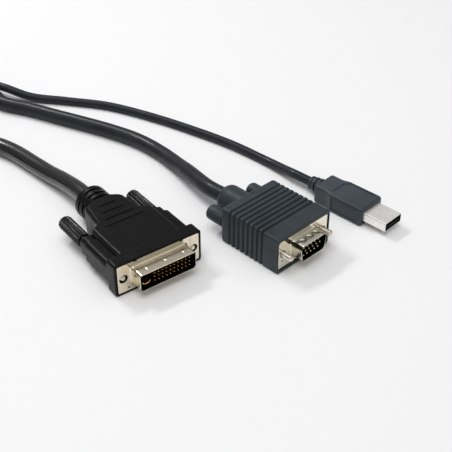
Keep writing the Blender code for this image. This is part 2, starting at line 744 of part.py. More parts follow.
def video_overmould(plug):
    middle = video_middle()

    def body(shrink, radius=VIDEO_RADIUS):
        return rounded_box(VIDEO_WIDTH - 2 * shrink, shrink, VIDEO_HEIGHT - shrink, radius)

    edge = 0.4 * MM
    flank = VIDEO_GROOVE_WIDTH / 4
    stations = [(0.0, body(edge)), (edge, body(0.0))]
    for groove in range(VIDEO_GROOVES):
        y = VIDEO_FRONT_BLOCK + groove * VIDEO_GROOVE_PITCH
        stations += [
            (y, body(0.0)),
            (y + flank, body(VIDEO_GROOVE_DEPTH)),
            (y + VIDEO_GROOVE_WIDTH - flank, body(VIDEO_GROOVE_DEPTH)),
            (y + VIDEO_GROOVE_WIDTH, body(0.0)),
        ]
    relief_end = VIDEO_LENGTH + VIDEO_RELIEF_LENGTH
    relief = (0.0, middle)
    stations += [
        (VIDEO_LENGTH - 1.2 * MM, body(0.0)),
        (VIDEO_LENGTH - 0.4 * MM, body(edge)),
        (VIDEO_LENGTH, body(1.2 * MM)),
        (VIDEO_LENGTH, circle(VIDEO_RELIEF_RADIUS, relief)),
        (relief_end - VIDEO_RELIEF_ROUND, circle(VIDEO_RELIEF_RADIUS, relief)),
    ]
    for degrees in (30.0, 60.0):
        angle = math.radians(degrees)
        back = relief_end - VIDEO_RELIEF_ROUND * (1 - math.sin(angle))
        narrow = VIDEO_RELIEF_ROUND * (1 - math.cos(angle)) * 0.7
        stations.append((back, circle(VIDEO_RELIEF_RADIUS - narrow, relief)))
    stations.append((relief_end, circle(VIDEO_CABLE_DIAMETER / 2 + 3 * GAP, relief)))
    part = solid("video_plug_overmould", loft(stations), SLATE, plug)
    recess = rounded_box(
        VIDEO_PLATE_WIDTH + 2 * GAP,
        middle - VIDEO_PLATE_HEIGHT / 2 - GAP,
        middle + VIDEO_PLATE_HEIGHT / 2 + GAP,
        VIDEO_PLATE_RADIUS + GAP,
    )
    cut(part, bar(recess, -THROUGH, video_back_plate() + VIDEO_PLATE_THICK + GAP))
    cavity = video_premould_outline(GAP)
    cut(part, bar(cavity, VIDEO_PLATE_AT, VIDEO_PREMOULD_END + GAP))
    cut(part, rod(0.0, middle, VIDEO_CABLE_DIAMETER / 2 + GAP, VIDEO_PREMOULD_END - THROUGH, VIDEO_CABLE_END + GAP))
    for side in (-1, 1):
        channel = SCREW_RADIUS + GAP
        cut(part, rod(side * VIDEO_SCREW_SPACING / 2, middle, channel, -THROUGH, VIDEO_LENGTH + THROUGH))
    x, y = VIDEO_GATE_AT
    gate = bmesh.new()
    place = Matrix.Translation((x, y, VIDEO_HEIGHT))
    bmesh.ops.create_cone(
        gate,
        cap_ends=True,
        segments=10,
        radius1=VIDEO_GATE_RADIUS,
        radius2=VIDEO_GATE_RADIUS,
        depth=2 * VIDEO_GATE_RADIUS,
        matrix=place,
    )
    cut(part, gate)
    return part


def video_back_plate():
    """Where the rear plate's front face is: behind the carrier's flange."""
    return VIDEO_PLATE_AT + VIDEO_PLATE_THICK + VIDEO_CARRIER_FLANGE + 2 * GAP


def video_premould_outline(grow):
    middle = video_middle()
    half = VIDEO_PREMOULD_HEIGHT / 2 + grow
    return rounded_box(VIDEO_PREMOULD_WIDTH + 2 * grow, middle - half, middle + half, 1.0 * MM + grow)


def video_shell_outline(shrink=0.0):
    """The keyed outline: wide at the top, with sides that lean inwards towards the bottom."""
    high, low = video_middle() + VIDEO_SHELL_HEIGHT / 2, video_middle() - VIDEO_SHELL_HEIGHT / 2
    top = VIDEO_SHELL_WIDTH / 2
    bottom = top - VIDEO_SHELL_HEIGHT * math.tan(math.radians(VIDEO_SHELL_SLOPE))
    corners = ((-bottom, low), (bottom, low), (top, high), (-top, high))
    return offset_outline(rounded_polygon(corners, (VIDEO_SHELL_RADIUS,) * 4), shrink)


def video_plate_outline():
    middle = video_middle()
    low, high = middle - VIDEO_PLATE_HEIGHT / 2, middle + VIDEO_PLATE_HEIGHT / 2
    return rounded_box(VIDEO_PLATE_WIDTH, low, high, VIDEO_PLATE_RADIUS)


def video_screw_holes(front, back):
    for side in (-1, 1):
        yield rod(side * VIDEO_SCREW_SPACING / 2, video_middle(), SCREW_RADIUS + GAP, front, back)


def video_shell(plug):
    front, back = VIDEO_PLATE_AT, VIDEO_PLATE_AT + VIDEO_PLATE_THICK
    tip = front - VIDEO_SHELL_REACH
    part = solid("video_plug_shell", bar(video_plate_outline(), front, back), TIN, plug)
    add(
        part,
        loft(
            (
                (tip, video_shell_outline(0.12 * MM)),
                (tip + 0.25 * MM, video_shell_outline()),
                (front - VIDEO_SHELL_FLARE, video_shell_outline()),
                (front - VIDEO_SHELL_FLARE / 3, video_shell_outline(-VIDEO_SHELL_FLARE / 3)),
                (front + VIDEO_PLATE_THICK / 2, video_shell_outline(-VIDEO_SHELL_FLARE)),
            )
        ),
    )
    cut(part, bar(video_shell_outline(VIDEO_SHELL_WALL), tip - THROUGH, back + THROUGH))
    holes = list(video_screw_holes(front - THROUGH, back + THROUGH))
    x, z = VIDEO_EARTH_HOLE
    holes.append(rod(x, video_middle() + z, EARTH_HOLE_RADIUS, front - THROUGH, back + THROUGH))
    cut(part, collected(holes))
    top = video_middle() + VIDEO_SHELL_HEIGHT / 2
    dimples = [
        dent(x, tip + VIDEO_DIMPLE_BACK, top, VIDEO_DIMPLE_RADIUS, DIMPLE_DEPTH)
        for x in (-VIDEO_DIMPLE_X, 0.0, VIDEO_DIMPLE_X)
    ]
    cut(part, collected(dimples))
    return part


def video_rear_plate(plug):
    front = video_back_plate()
    back = front + VIDEO_PLATE_THICK
    part = solid("video_plug_rear_plate", bar(video_plate_outline(), front, back), TIN, plug)
    hole = offset_outline(video_shell_outline(VIDEO_SHELL_WALL), 0.0)
    cut(part, bar(hole, front - THROUGH, back + THROUGH))
    cut(part, collected(video_screw_holes(front - THROUGH, back + THROUGH)))
    return part


def video_pin_places():
    """(row, column, x, z) of each pin: the middle row is half a pitch along from the other two."""
    middle = video_middle()
    for row in range(VIDEO_PIN_ROWS):
        shift = VIDEO_PIN_PITCH / 4 * (1 if row % 2 else -1)
        z = middle + (1 - row) * VIDEO_ROW_PITCH
        for column in range(VIDEO_PIN_COLUMNS):
            yield row, column, (column - 2) * VIDEO_PIN_PITCH + shift, z


def video_contacts(plug):
    middle = video_middle()
    face = video_shell_outline(VIDEO_SHELL_WALL + GAP)
    carrier = solid("video_plug_contact_carrier", bar(face, VIDEO_CARRIER_FRONT, VIDEO_CARRIER_END), CARRIER, plug)
    flange_front = VIDEO_PLATE_AT + VIDEO_PLATE_THICK + GAP
    flange = rounded_box(
        VIDEO_CARRIER_FLANGE_WIDTH,
        middle - VIDEO_CARRIER_FLANGE_HEIGHT / 2,
        middle + VIDEO_CARRIER_FLANGE_HEIGHT / 2,
        1.0 * MM,
    )
    add(carrier, bar(flange, flange_front, flange_front + VIDEO_CARRIER_FLANGE))
    holes = []
    radius = VIDEO_PIN_RADIUS
    for row, column, x, z in video_pin_places():
        steps = 10
        pin = loft(
            (
                (VIDEO_PIN_TIP, circle(radius * 0.45, (x, z), steps)),
                (VIDEO_PIN_TIP + radius, circle(radius, (x, z), steps)),
                (VIDEO_CARRIER_END, circle(radius, (x, z), steps)),
            )
        )
        solid(f"video_plug_pin_{row * VIDEO_PIN_COLUMNS + column + 1:02d}", pin, GOLD, plug)
        holes.append(
            rod(x, z, radius + PIN_GAP, VIDEO_CARRIER_FRONT - THROUGH, VIDEO_CARRIER_END + THROUGH, steps)
        )
    cut(carrier, collected(holes))
    return carrier


def video_inner(plug):
    block = bar(video_premould_outline(0.0), VIDEO_CARRIER_END + GAP, VIDEO_PREMOULD_END)
    premould = solid("video_plug_inner_mould", block, PREMOULD, plug)
    stub = rod(0.0, video_middle(), VIDEO_CABLE_DIAMETER / 2, VIDEO_PREMOULD_END - THROUGH, VIDEO_CABLE_END)
    add(premould, stub)
    return premould


def video_thumbscrews(plug):
    front = VIDEO_LENGTH + GAP
    end = front + VIDEO_KNOB_LENGTH
    rounding = VIDEO_KNOB_ROUND
    for side, word in ((-1, "left"), (1, "right")):
        middle = (side * VIDEO_SCREW_SPACING / 2, video_middle())
        profile = [(front, VIDEO_KNOB_RADIUS - rounding / 2), (front + rounding / 2, VIDEO_KNOB_RADIUS)]
        for degrees in (0.0, 30.0, 60.0, 90.0):
            angle = math.radians(degrees)
            y = end - rounding * (1 - math.sin(angle))
            profile.append((y, VIDEO_KNOB_RADIUS - rounding * (1 - math.cos(angle))))
        sections = [(y, circle(radius, middle, FINE_ROUND)) for y, radius in profile]
        thumbscrew(plug, f"video_plug_{word}", *middle, VIDEO_SCREW_TIP, front, sections, SLATE)


# The USB plug


def usb_middle():
    return USB_HEIGHT / 2


def usb_shell_box(shrink):
    middle = usb_middle()
    half = USB_SHELL_HEIGHT / 2 - shrink
    return rounded_box(USB_SHELL_WIDTH - 2 * shrink, middle - half, middle + half, max(USB_SHELL_RADIUS - shrink, 0.2 * MM))


def usb_premould_outline(grow):
    middle = usb_middle()
    half = USB_PREMOULD_HEIGHT / 2 + grow
    return rounded_box(USB_PREMOULD_WIDTH + 2 * grow, middle - half, middle + half, 0.8 * MM + grow)


def usb_shell_back():
    return USB_SHELL_LENGTH - USB_SHELL_REACH


def usb_premould_end():
    return usb_shell_back() + GAP + USB_PREMOULD_LENGTH


def usb_overmould(plug):
    middle = usb_middle()

    def body(width, shrink=0.0):
        return rounded_box(width - 2 * shrink, shrink, USB_HEIGHT - shrink, USB_RADIUS)

    nose = USB_NOSE_ROUND
    stations = [
        (0.0, body(USB_WIDTH, nose)),
        (nose * 0.3, body(USB_WIDTH, nose * 0.3)),
        (nose, body(USB_WIDTH)),
        (USB_WIDE_END, body(USB_WIDTH)),
        (USB_WAIST_START, body(USB_WAIST_WIDTH)),
        (USB_LENGTH - 0.8 * MM, body(USB_WAIST_WIDTH)),
        (USB_LENGTH, body(USB_WAIST_WIDTH, 0.8 * MM)),
    ]
    centre = (0.0, middle)
    y = USB_LENGTH
    stations.append((y, circle(USB_RELIEF_CORE, centre)))
    for rib in range(USB_RELIEF_RIBS):
        share = rib / (USB_RELIEF_RIBS - 1)
        radius = USB_RELIEF_RADIUS + (USB_RELIEF_END_RADIUS - USB_RELIEF_RADIUS) * share
        gap = USB_RELIEF_PITCH - USB_RELIEF_RIB
        edge = USB_RELIEF_RIB / 5
        stations += [
            (y + gap, circle(USB_RELIEF_CORE, centre)),
            (y + gap + edge, circle(radius, centre)),
            (y + USB_RELIEF_PITCH - edge, circle(radius, centre)),
            (y + USB_RELIEF_PITCH, circle(USB_RELIEF_CORE, centre)),
        ]
        y += USB_RELIEF_PITCH
    part = solid("usb_plug_overmould", loft(stations), SLATE, plug)
    depth, margin = USB_PANEL_DEPTH, USB_PANEL_MARGIN
    half = USB_WIDTH / 2
    panels = [
        box(-half + margin, half - margin, USB_PANEL_FRONT, USB_PANEL_END, USB_HEIGHT - depth, USB_HEIGHT + depth),
        box(-half + margin, half - margin, USB_PANEL_FRONT, USB_PANEL_END, -depth, depth),
    ]
    for side in (-1, 1):
        low, high = sorted((side * (half - depth), side * (half + depth)))
        panels.append(box(low, high, USB_PANEL_FRONT, USB_WIDE_END - margin / 2, margin, USB_HEIGHT - margin))
    cut(part, collected(panels))
    cut(part, bar(usb_shell_box(-GAP), -THROUGH, usb_shell_back() + GAP))
    cut(part, bar(usb_premould_outline(GAP), usb_shell_back(), usb_premould_end() + GAP))
    cut(part, rod(0.0, middle, USB_CABLE_DIAMETER / 2 + GAP, usb_premould_end() - THROUGH, USB_CABLE_END + GAP))
    return part


def usb_end():
    return USB_LENGTH + USB_RELIEF_RIBS * USB_RELIEF_PITCH


def usb_shell(plug):
    front, back = -USB_SHELL_REACH, usb_shell_back()
    part = solid("usb_plug_shell", bar(usb_shell_box(0.0), front, back), NICKEL, plug)
    cut(part, bar(usb_shell_box(USB_SHELL_WALL), front - THROUGH, back + THROUGH))
    half_x, half_y = USB_WINDOW_WIDTH / 2, USB_WINDOW_LENGTH / 2
    windows = [
        box(
            side * USB_WINDOW_X - half_x,
            side * USB_WINDOW_X + half_x,
            USB_WINDOW_Y - half_y,
            USB_WINDOW_Y + half_y,
            usb_middle() - USB_SHELL_HEIGHT,
            usb_middle() + USB_SHELL_HEIGHT,
        )
        for side in (-1, 1)
    ]
    cut(part, collected(windows))
    return part


def usb_contacts(plug):
    """The tongue lies in the lower half of the shell, with the four contacts let into its upper face."""
    half = USB_SHELL_WIDTH / 2 - USB_SHELL_WALL - GAP
    low = usb_middle() - USB_SHELL_HEIGHT / 2 + USB_SHELL_WALL + GAP
    high = low + USB_TONGUE_THICK
    front = -USB_SHELL_REACH + USB_TONGUE_BACK
    back = usb_shell_back()
    tongue = solid("usb_plug_tongue", box(-half, half, front, back, low, high), CARRIER, plug)
    sink = USB_CONTACT_THICK * 2 / 3
    grooves = []
    for number, x in enumerate(USB_CONTACT_X, 1):
        start = front + USB_CONTACT_BACK
        edge = USB_CONTACT_WIDTH / 2
        strip = box(x - edge, x + edge, start, back, high - sink, high - sink + USB_CONTACT_THICK)
        solid(f"usb_plug_contact_{number}", strip, GOLD, plug)
        wide = edge + PIN_GAP
        grooves.append(box(x - wide, x + wide, start - PIN_GAP, back + THROUGH, high - sink - PIN_GAP, high + THROUGH))
    cut(tongue, collected(grooves))
    return tongue


def usb_inner(plug):
    start = usb_shell_back() + GAP
    premould = solid("usb_plug_inner_mould", bar(usb_premould_outline(0.0), start, usb_premould_end()), PREMOULD, plug)
    add(premould, rod(0.0, usb_middle(), USB_CABLE_DIAMETER / 2, usb_premould_end() - THROUGH, USB_CABLE_END))
    return premould


# The cables


def smooth_route(points, spacing):
    """Points at an even spacing on a smooth curve through the route's own points."""
    route = [Vector(p) for p in points]
    padded = [2 * route[0] - route[1], *route, 2 * route[-1] - route[-2]]
    fine = []
    for a, b, c, d in zip(padded, padded[1:], padded[2:], padded[3:]):
        knots = [0.0]
        for p, q in ((a, b), (b, c), (c, d)):
            knots.append(knots[-1] + math.sqrt((q - p).length))
        for k in range(40):
            t = knots[1] + (knots[2] - knots[1]) * k / 40
            fine.append(spline_point((a, b, c, d), knots, t))
    fine.append(route[-1])
    lengths = [0.0]
    for p, q in zip(fine, fine[1:]):
        lengths.append(lengths[-1] + (q - p).length)
    count = max(2, math.ceil(lengths[-1] / spacing))
    even, i = [], 0
    for k in range(count + 1):
        wanted = lengths[-1] * k / count
        while i < len(fine) - 2 and lengths[i + 1] < wanted:
            i += 1
        share = (wanted - lengths[i]) / (lengths[i + 1] - lengths[i])
        even.append(fine[i].lerp(fine[i + 1], share))
    return even


def spline_point(points, knots, t):
    """A point between the middle two of four route points, by interpolation in three rounds."""

    def between(p, q, first, last):
        return p.lerp(q, (t - knots[first]) / (knots[last] - knots[first]))

    a, b, c = (between(points[i], points[i + 1], i, i + 1) for i in range(3))
    d, e = between(a, b, 0, 2), between(b, c, 1, 3)
    return between(d, e, 1, 2)


def tube(name, points, diameter, spec):
    curve = bpy.data.curves.new(name, "CURVE")
    curve.dimensions = "3D"
    curve.bevel_depth = diameter / 2
    curve.bevel_resolution = 3 if diameter > 4 * MM else 2
    curve.use_fill_caps = True
    path = smooth_route(points, diameter * ROUTE_SPACING)
    line = curve.splines.new("POLY")
    line.points.add(len(path) - 1)
    for knot, place in zip(line.points, path):
        knot.co = (*place, 1.0)
    curve.materials.append(material(spec))
    obj = bpy.data.objects.new(name, curve)
    bpy.context.collection.objects.link(obj)
    return obj


def on_floor(place, degrees, x, y, z):
    """A point of a plug's own frame, in the object's frame."""
    turned = Matrix.Rotation(math.radians(degrees), 2) @ Vector((x, y))
    return Vector((place[0] + turned.x, place[1] + turned.y, z))


def leaving(place, degrees, end, height):
    """The cable's first two points: at the plug's rear and straight out of it."""
    return [
        on_floor(place, degrees, 0.0, end + GAP, height),
        on_floor(place, degrees, 0.0, end + GAP + STRAIGHT_OUT, height * 0.96),
    ]


def in_metres(route):
    return [Vector(p) * MM for p in route]


def splitter_point(along, across):
    heading = math.radians(SPLITTER_HEADING)
    ahead = Vector((math.cos(heading), math.sin(heading)))
    left = Vector((-ahead.y, ahead.x))
    flat = Vector(SPLITTER_INLET) + ahead * along + left * across
    return Vector((flat.x, flat.y, SPLITTER_HEIGHT / 2))


def arriving(way, across):
    """A cable's last two points, straight up to one end of the splitter: -1 is the inlet, 1 is the outlets."""
    face = SPLITTER_LENGTH if way > 0 else 0.0
    return [splitter_point(face + way * (GAP + reach), across) for reach in (STRAIGHT_IN, 0.0)]


def cables():
    big_end = BIG_COLLAR_START + BIG_COLLAR_LENGTH
    start = leaving(BIG_PLUG_AT, BIG_PLUG_TURN, big_end, BIG_HEIGHT / 2)
    tube("trunk_cable", start + in_metres(TRUNK_ROUTE), TRUNK_DIAMETER, TRUNK_JACKET)
    tube("trunk_cable_tail", in_metres(TAIL_ROUTE) + arriving(-1, 0.0), TRUNK_DIAMETER, TRUNK_JACKET)
    start = leaving(VIDEO_PLUG_AT, VIDEO_PLUG_TURN, VIDEO_LENGTH + VIDEO_RELIEF_LENGTH, VIDEO_HEIGHT / 2)
    end = arriving(1, SPLITTER_VIDEO_OFFSET)
    tube("video_cable", start + in_metres(VIDEO_ROUTE) + end, VIDEO_CABLE_DIAMETER, BRANCH_JACKET)
    start = leaving(USB_PLUG_AT, USB_PLUG_TURN, usb_end(), USB_HEIGHT / 2)
    end = arriving(1, SPLITTER_USB_OFFSET)
    tube("usb_cable", start + in_metres(USB_ROUTE) + end, USB_CABLE_DIAMETER, BRANCH_JACKET)


def coil():
    """The wound length as one ring that stands on its tie."""
    inner = COIL_RADIUS - COIL_COLUMNS * TRUNK_DIAMETER / 2
    outer = COIL_RADIUS + COIL_COLUMNS * TRUNK_DIAMETER / 2
    low = TIE_THICK + GAP
    high = low + COIL_LAYERS * TRUNK_DIAMETER
    bevel = TRUNK_DIAMETER / 3
    profile = rounded_box(outer - inner, low, high, bevel, (inner + outer) / 2, 2)
    made = bmesh.new()
    rows = []
    steps = 40
    for k in range(steps):
        turn = 2 * math.pi * k / steps
        rows.append([made.verts.new((p[0] * math.cos(turn), p[0] * math.sin(turn), p[1])) for p in profile])
    for k in range(steps):
        here, there = rows[k - 1], rows[k]
        for i in range(len(profile)):
            made.faces.new((here[i - 1], here[i], there[i], there[i - 1]))
    ring = solid("trunk_cable_coil", made, TRUNK_JACKET)
    ring.location = (*COIL_CENTRE, 0.0)
    tie(inner, outer, low, high, bevel)


def tie(inner, outer, low, high, bevel):
    """A closed strap round the coil's section, with its fastening on the outside."""
    middle, width = (inner + outer) / 2, outer - inner
    grow = GAP + TIE_THICK
    around = rounded_box(width + 2 * grow, low - grow, high + grow, bevel + grow, middle)
    within = rounded_box(width + 2 * GAP, low - GAP, high + GAP, bevel + GAP, middle)
    strap = solid("coil_tie", bar(around, -TIE_WIDTH / 2, TIE_WIDTH / 2), BLACK)
    half = (high - low) / 8
    centre = (low + high) / 2
    face = outer + GAP + TIE_THICK
    reach = TIE_WIDTH / 2 + THROUGH
    helpers = [
        add(strap, box(face - TIE_THICK / 2, face + TIE_HEAD, -reach, reach, centre - half, centre + half)),
        cut(strap, bar(within, -TIE_WIDTH, TIE_WIDTH)),
    ]
    for obj in (strap, *helpers):
        obj.location = (*COIL_CENTRE, 0.0)
        obj.rotation_euler = (0.0, 0.0, math.radians(TIE_ANGLE))


def splitter():
    """The moulded block that the trunk cable enters and the two lighter cables leave."""
    height, length = SPLITTER_HEIGHT, SPLITTER_LENGTH
    radius = SPLITTER_RADIUS

    def section(width, shrink=0.0):
        return rounded_box(width - 2 * shrink, shrink, height - shrink, radius)

    soft = 1.2 * MM
    form = loft(
        (
            (0.0, section(SPLITTER_NECK_WIDTH, soft)),
            (soft, section(SPLITTER_NECK_WIDTH)),
            (length * 0.28, section(SPLITTER_NECK_WIDTH)),
            (length * 0.68, section(SPLITTER_WIDTH)),
            (length - soft, section(SPLITTER_WIDTH)),
            (length, section(SPLITTER_WIDTH, soft)),
        )
    )
    block = solid("cable_splitter", form, BLACK)
    block.location = (*SPLITTER_INLET, 0.0)
    block.rotation_euler = (0.0, 0.0, math.radians(SPLITTER_HEADING - 90.0))


def main():
    clear_scene()
    big = empty_at("big_plug_frame", BIG_PLUG_AT, BIG_PLUG_TURN)
    big_overmould(big)
    big_shell(big)
    big_contacts(big)
    big_inner(big)
    big_thumbscrews(big)
    video = empty_at("video_plug_frame", VIDEO_PLUG_AT, VIDEO_PLUG_TURN)
    video_overmould(video)
    video_shell(video)
    video_rear_plate(video)
    video_contacts(video)
    video_inner(video)
    video_thumbscrews(video)
    usb = empty_at("usb_plug_frame", USB_PLUG_AT, USB_PLUG_TURN)
    usb_overmould(usb)
    usb_shell(usb)
    usb_contacts(usb)
    usb_inner(usb)
    coil()
    splitter()
    cables()


main()
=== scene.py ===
"""Looks of the projector lead: fine forms, finishes, three cables at their real length, light, camera.

Lengths are in millimetres and are turned into metres where an object is made. Each plug has its own frame:
x across it, -y the way it is pushed in, z up from the floor.
"""

import math

import bmesh
import bpy
from mathutils import Matrix, Vector


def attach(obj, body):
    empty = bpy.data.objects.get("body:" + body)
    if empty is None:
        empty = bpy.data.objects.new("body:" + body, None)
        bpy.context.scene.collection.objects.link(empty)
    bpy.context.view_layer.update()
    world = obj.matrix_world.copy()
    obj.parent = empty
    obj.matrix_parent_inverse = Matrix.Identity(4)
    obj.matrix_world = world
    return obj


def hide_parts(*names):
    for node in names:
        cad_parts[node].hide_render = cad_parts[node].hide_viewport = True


MM = 0.001
# Clearance between pieces, clearance of pins and screws in their seats, and a cutter's reach past a face
GAP = 0.3
PIN_GAP = 0.12
CLEAR = 1.0

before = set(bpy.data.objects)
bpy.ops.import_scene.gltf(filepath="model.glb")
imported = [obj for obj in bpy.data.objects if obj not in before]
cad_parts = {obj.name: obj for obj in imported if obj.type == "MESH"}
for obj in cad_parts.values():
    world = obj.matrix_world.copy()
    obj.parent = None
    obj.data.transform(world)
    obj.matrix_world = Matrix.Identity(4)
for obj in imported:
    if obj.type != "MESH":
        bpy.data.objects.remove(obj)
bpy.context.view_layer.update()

# Plug frames: where each front face stands, and its turn about +Z in degrees
BIG_PLUG = (-43.0, -10.8, 0.0)
VIDEO_PLUG = (13.5, -36.4, 7.5)
USB_PLUG = (56.4, -33.4, 9.2)

# 30-pin plug
BIG_HEIGHT = 16.0
BIG_MIDDLE = BIG_HEIGHT / 2
BIG_SCREWS = 34.4
BIG_PLATE_EDGE = 2.8
BIG_PLATE_WIDTH = BIG_SCREWS + 2 * BIG_PLATE_EDGE
BIG_PLATE_HEIGHT = 13.6
BIG_PLATE_THICK = 0.6
BIG_PLATE_RADIUS = 0.7
BIG_FLANGE_RIM = 1.25
BIG_FLANGE_WIDTH = BIG_PLATE_WIDTH + 2 * BIG_FLANGE_RIM
BIG_FLANGE_DEPTH = 6.3
BIG_FLANGE_RADIUS = 1.5
BIG_FLANGE_ROUND = 0.5
BIG_BODY_INSET = 0.5
BIG_BODY_WIDTH = 30.8
BIG_BODY_RADIUS = 1.8
# The body from its rails to its collar: y, width and corner radius
BIG_NECK = (
    (27.4, BIG_BODY_WIDTH, 1.8),
    (28.3, 29.6, 1.8),
    (29.2, 26.6, 1.8),
    (30.2, 24.2, 1.8),
    (31.6, 22.6, 1.8),
    (33.8, 21.5, 1.8),
    (36.5, 20.8, 1.8),
    (43.0, 19.6, 2.2),
    (44.4, 18.8, 2.8),
    (46.3, 16.0, 4.5),
)
BIG_NECK_STEP = 1.2
BIG_CHANNEL_END = 30.0
BIG_CABLE_HOLE = (25.0, 40.3)
RAIL_WIDTH = 7.8
RAIL_HEIGHT = 10.8
RAIL_RADIUS = 2.4
RAIL_STEP_AT = 23.8
RAIL_STEP = 0.7
RAIL_END = 29.0
BIG_COLLAR_START = 47.5
BIG_COLLAR_ROUND = 0.9
BIG_END = 57.0
BIG_SLOTS = (1.9, 5.2)
BIG_SLOT_WIDTH = 1.2
BIG_SLOT_DEPTH = 1.5
BIG_SLOT_BRIDGE = 24.0
BIG_BARS = ((27.0, 19.0), (31.5, 14.4), (36.5, 11.0), (41.5, 8.0))
BIG_BAR_WIDTH = 2.2
BIG_BAR_PROUD = 0.35
BIG_BAR_SUNK = 0.6
BIG_SHELL_WIDTH = 27.4
BIG_SHELL_HEIGHT = 8.6
BIG_SHELL_RADII = (2.3, 2.3, 1.3, 1.3)
BIG_SHELL_REACH = 7.0
BIG_SHELL_FLARE = 0.8
BIG_CAN_WIDTH = 27.0
BIG_CAN_HEIGHT = 11.0
BIG_CAN_RADIUS = 1.2
BIG_CAN_END = 26.0
BIG_EARTH_HOLE = (-14.9, -5.3)
# Distance from the middle, half width, depth, and for a crease its margin at both ends
BIG_CREASE = (15.6, 0.1, 0.12, 0.4)
BIG_NOTCH = (11.2, 0.9, 0.5)
# Distance apart, y, radius and depth
BIG_DENTS = (9.0, -4.2, 0.75, 0.28)
BIG_PIN_ROWS = 3
BIG_PIN_COLUMNS = 10
BIG_PIN_PITCH = 1.905
BIG_PIN_FIRST = -6.2
BIG_PIN_TIP = -6.2
BIG_PIN_WIDTH = 0.72
BIG_PIN_HEIGHT = 0.5
# y and scale along a pin; half width, half height and depth of its pocket
BIG_PIN_PROFILE = ((BIG_PIN_TIP, 0.45), (-6.0, 0.72), (-5.5, 1.0), (-0.6, 1.0))
BIG_PIN_POCKET = (0.62, 0.5, 0.35)
# Width, height, corner radius, front and back
BIG_INSERT_FLANGE = (25.6, 9.4, 0.8, 0.9, 2.9)
BIG_CARRIER_FRONT = -1.2
BIG_CARRIER_BACK = 8.0
BLADE_MIDDLE = -10.3
BLADE_WIDTH = 4.2
BLADE_THICK = 0.6
BLADE_DROP = -1.5
BLADE_SAG = 1.0

# Jackscrews and thumb knobs
SCREW_RADIUS = 1.42
SCREW_SEAT = 6.0
BIG_SCREW_TIP = 0.2
BIG_PLATE_HOLE_RADIUS = SCREW_RADIUS + 0.6
THREAD_POINTS = 32
THREAD_PITCH = 0.64
THREAD_DEPTH = 0.22
KNOB_NECK = 2.7
KNOB_NECK_RADIUS = 2.5
BIG_KNOB_RADIUS = 3.35
BIG_KNOB_LENGTH = 17.0
BIG_KNOB_FLUTES = 12
BIG_KNOB_FLUTE = 0.5
# y from an end, then how far in and the share of a flute's depth there
BIG_KNOB_EDGE = ((0.0, (0.5, 0.0)), (0.2, (0.15, 0.3)), (0.6, (0.0, 1.0)))
KNOB_POINTS = BIG_KNOB_FLUTES * 12
VIDEO_KNOB_RADIUS = 3.6
VIDEO_KNOB_LENGTH = 10.4
VIDEO_KNOB_ROUND = 1.6
VIDEO_SCREW_TIP = -4.6

# Drawn shells and face plates: y from the tip and how far in, the wall, and the holes through a plate
SHELL_TIP = ((0.0, 0.18), (0.06, 0.07), (0.2, 0.0))
SHELL_WALL = 0.5
EARTH_HOLE_RADIUS = 0.45
PLATE_HOLE_END = 2.0

# 15-pin plug
VIDEO_HEIGHT = 17.8
VIDEO_MIDDLE = VIDEO_HEIGHT / 2
VIDEO_SCREWS = 24.99
VIDEO_PLATE_EDGE = 3.0
VIDEO_PLATE_WIDTH = VIDEO_SCREWS + 2 * VIDEO_PLATE_EDGE
VIDEO_PLATE_HEIGHT = 14.2
VIDEO_PLATE_AT = 0.5
VIDEO_PLATE_THICK = 0.5
VIDEO_PLATE_RADIUS = 1.3
VIDEO_RIM = 0.9
VIDEO_WIDTH = VIDEO_PLATE_WIDTH + 2 * VIDEO_RIM
VIDEO_RADIUS = 1.3
VIDEO_BODY_LENGTH = 33.8
VIDEO_FRONT_BLOCK = 8.6
VIDEO_GROOVES = 8
VIDEO_GROOVE_PITCH = 2.75
VIDEO_GROOVE_WIDTH = 1.2
VIDEO_GROOVE_DEPTH = 0.8
VIDEO_GROOVE_LIP = 0.14
VIDEO_RELIEF_RADIUS = 6.8
VIDEO_RELIEF_ROUND = 3.4
VIDEO_END = 48.0
VIDEO_RECESS_END = 4.3
# Width, height, corner radius, front and back
VIDEO_CAVITY = (19.8, 11.4, 1.3, 0.5, 27.3)
VIDEO_CABLE_HOLE = (26.0, 42.3)
VIDEO_GATE = (1.8, 31.9)
VIDEO_SHELL_WIDTH = 16.92
VIDEO_SHELL_HEIGHT = 8.36
VIDEO_SHELL_SLOPE = 10.0
VIDEO_SHELL_RADIUS = 2.4
VIDEO_SHELL_REACH = 6.0
VIDEO_SHELL_FLARE = 0.7
VIDEO_EARTH_HOLE = (-12.9, -3.4)
# Distance apart, y from the tip, radius and depth
VIDEO_DENTS = (4.3, 2.9, 1.7, 0.28)
VIDEO_PIN_ROWS = 3
VIDEO_PIN_COLUMNS = 5
VIDEO_PIN_PITCH = 2.29
VIDEO_ROW_PITCH = 1.98
VIDEO_PIN_RADIUS = 0.38
VIDEO_PIN_TIP = -4.6
# Radius and depth of the rim round a pin; width, height, corner radius and depth of the insert's flange
VIDEO_PIN_RIM = (0.72, 0.25)
VIDEO_INSERT_FLANGE = (18.8, 10.6, 1.0, 1.9)
VIDEO_CARRIER_FRONT = 0.2
VIDEO_CARRIER_BACK = 7.0

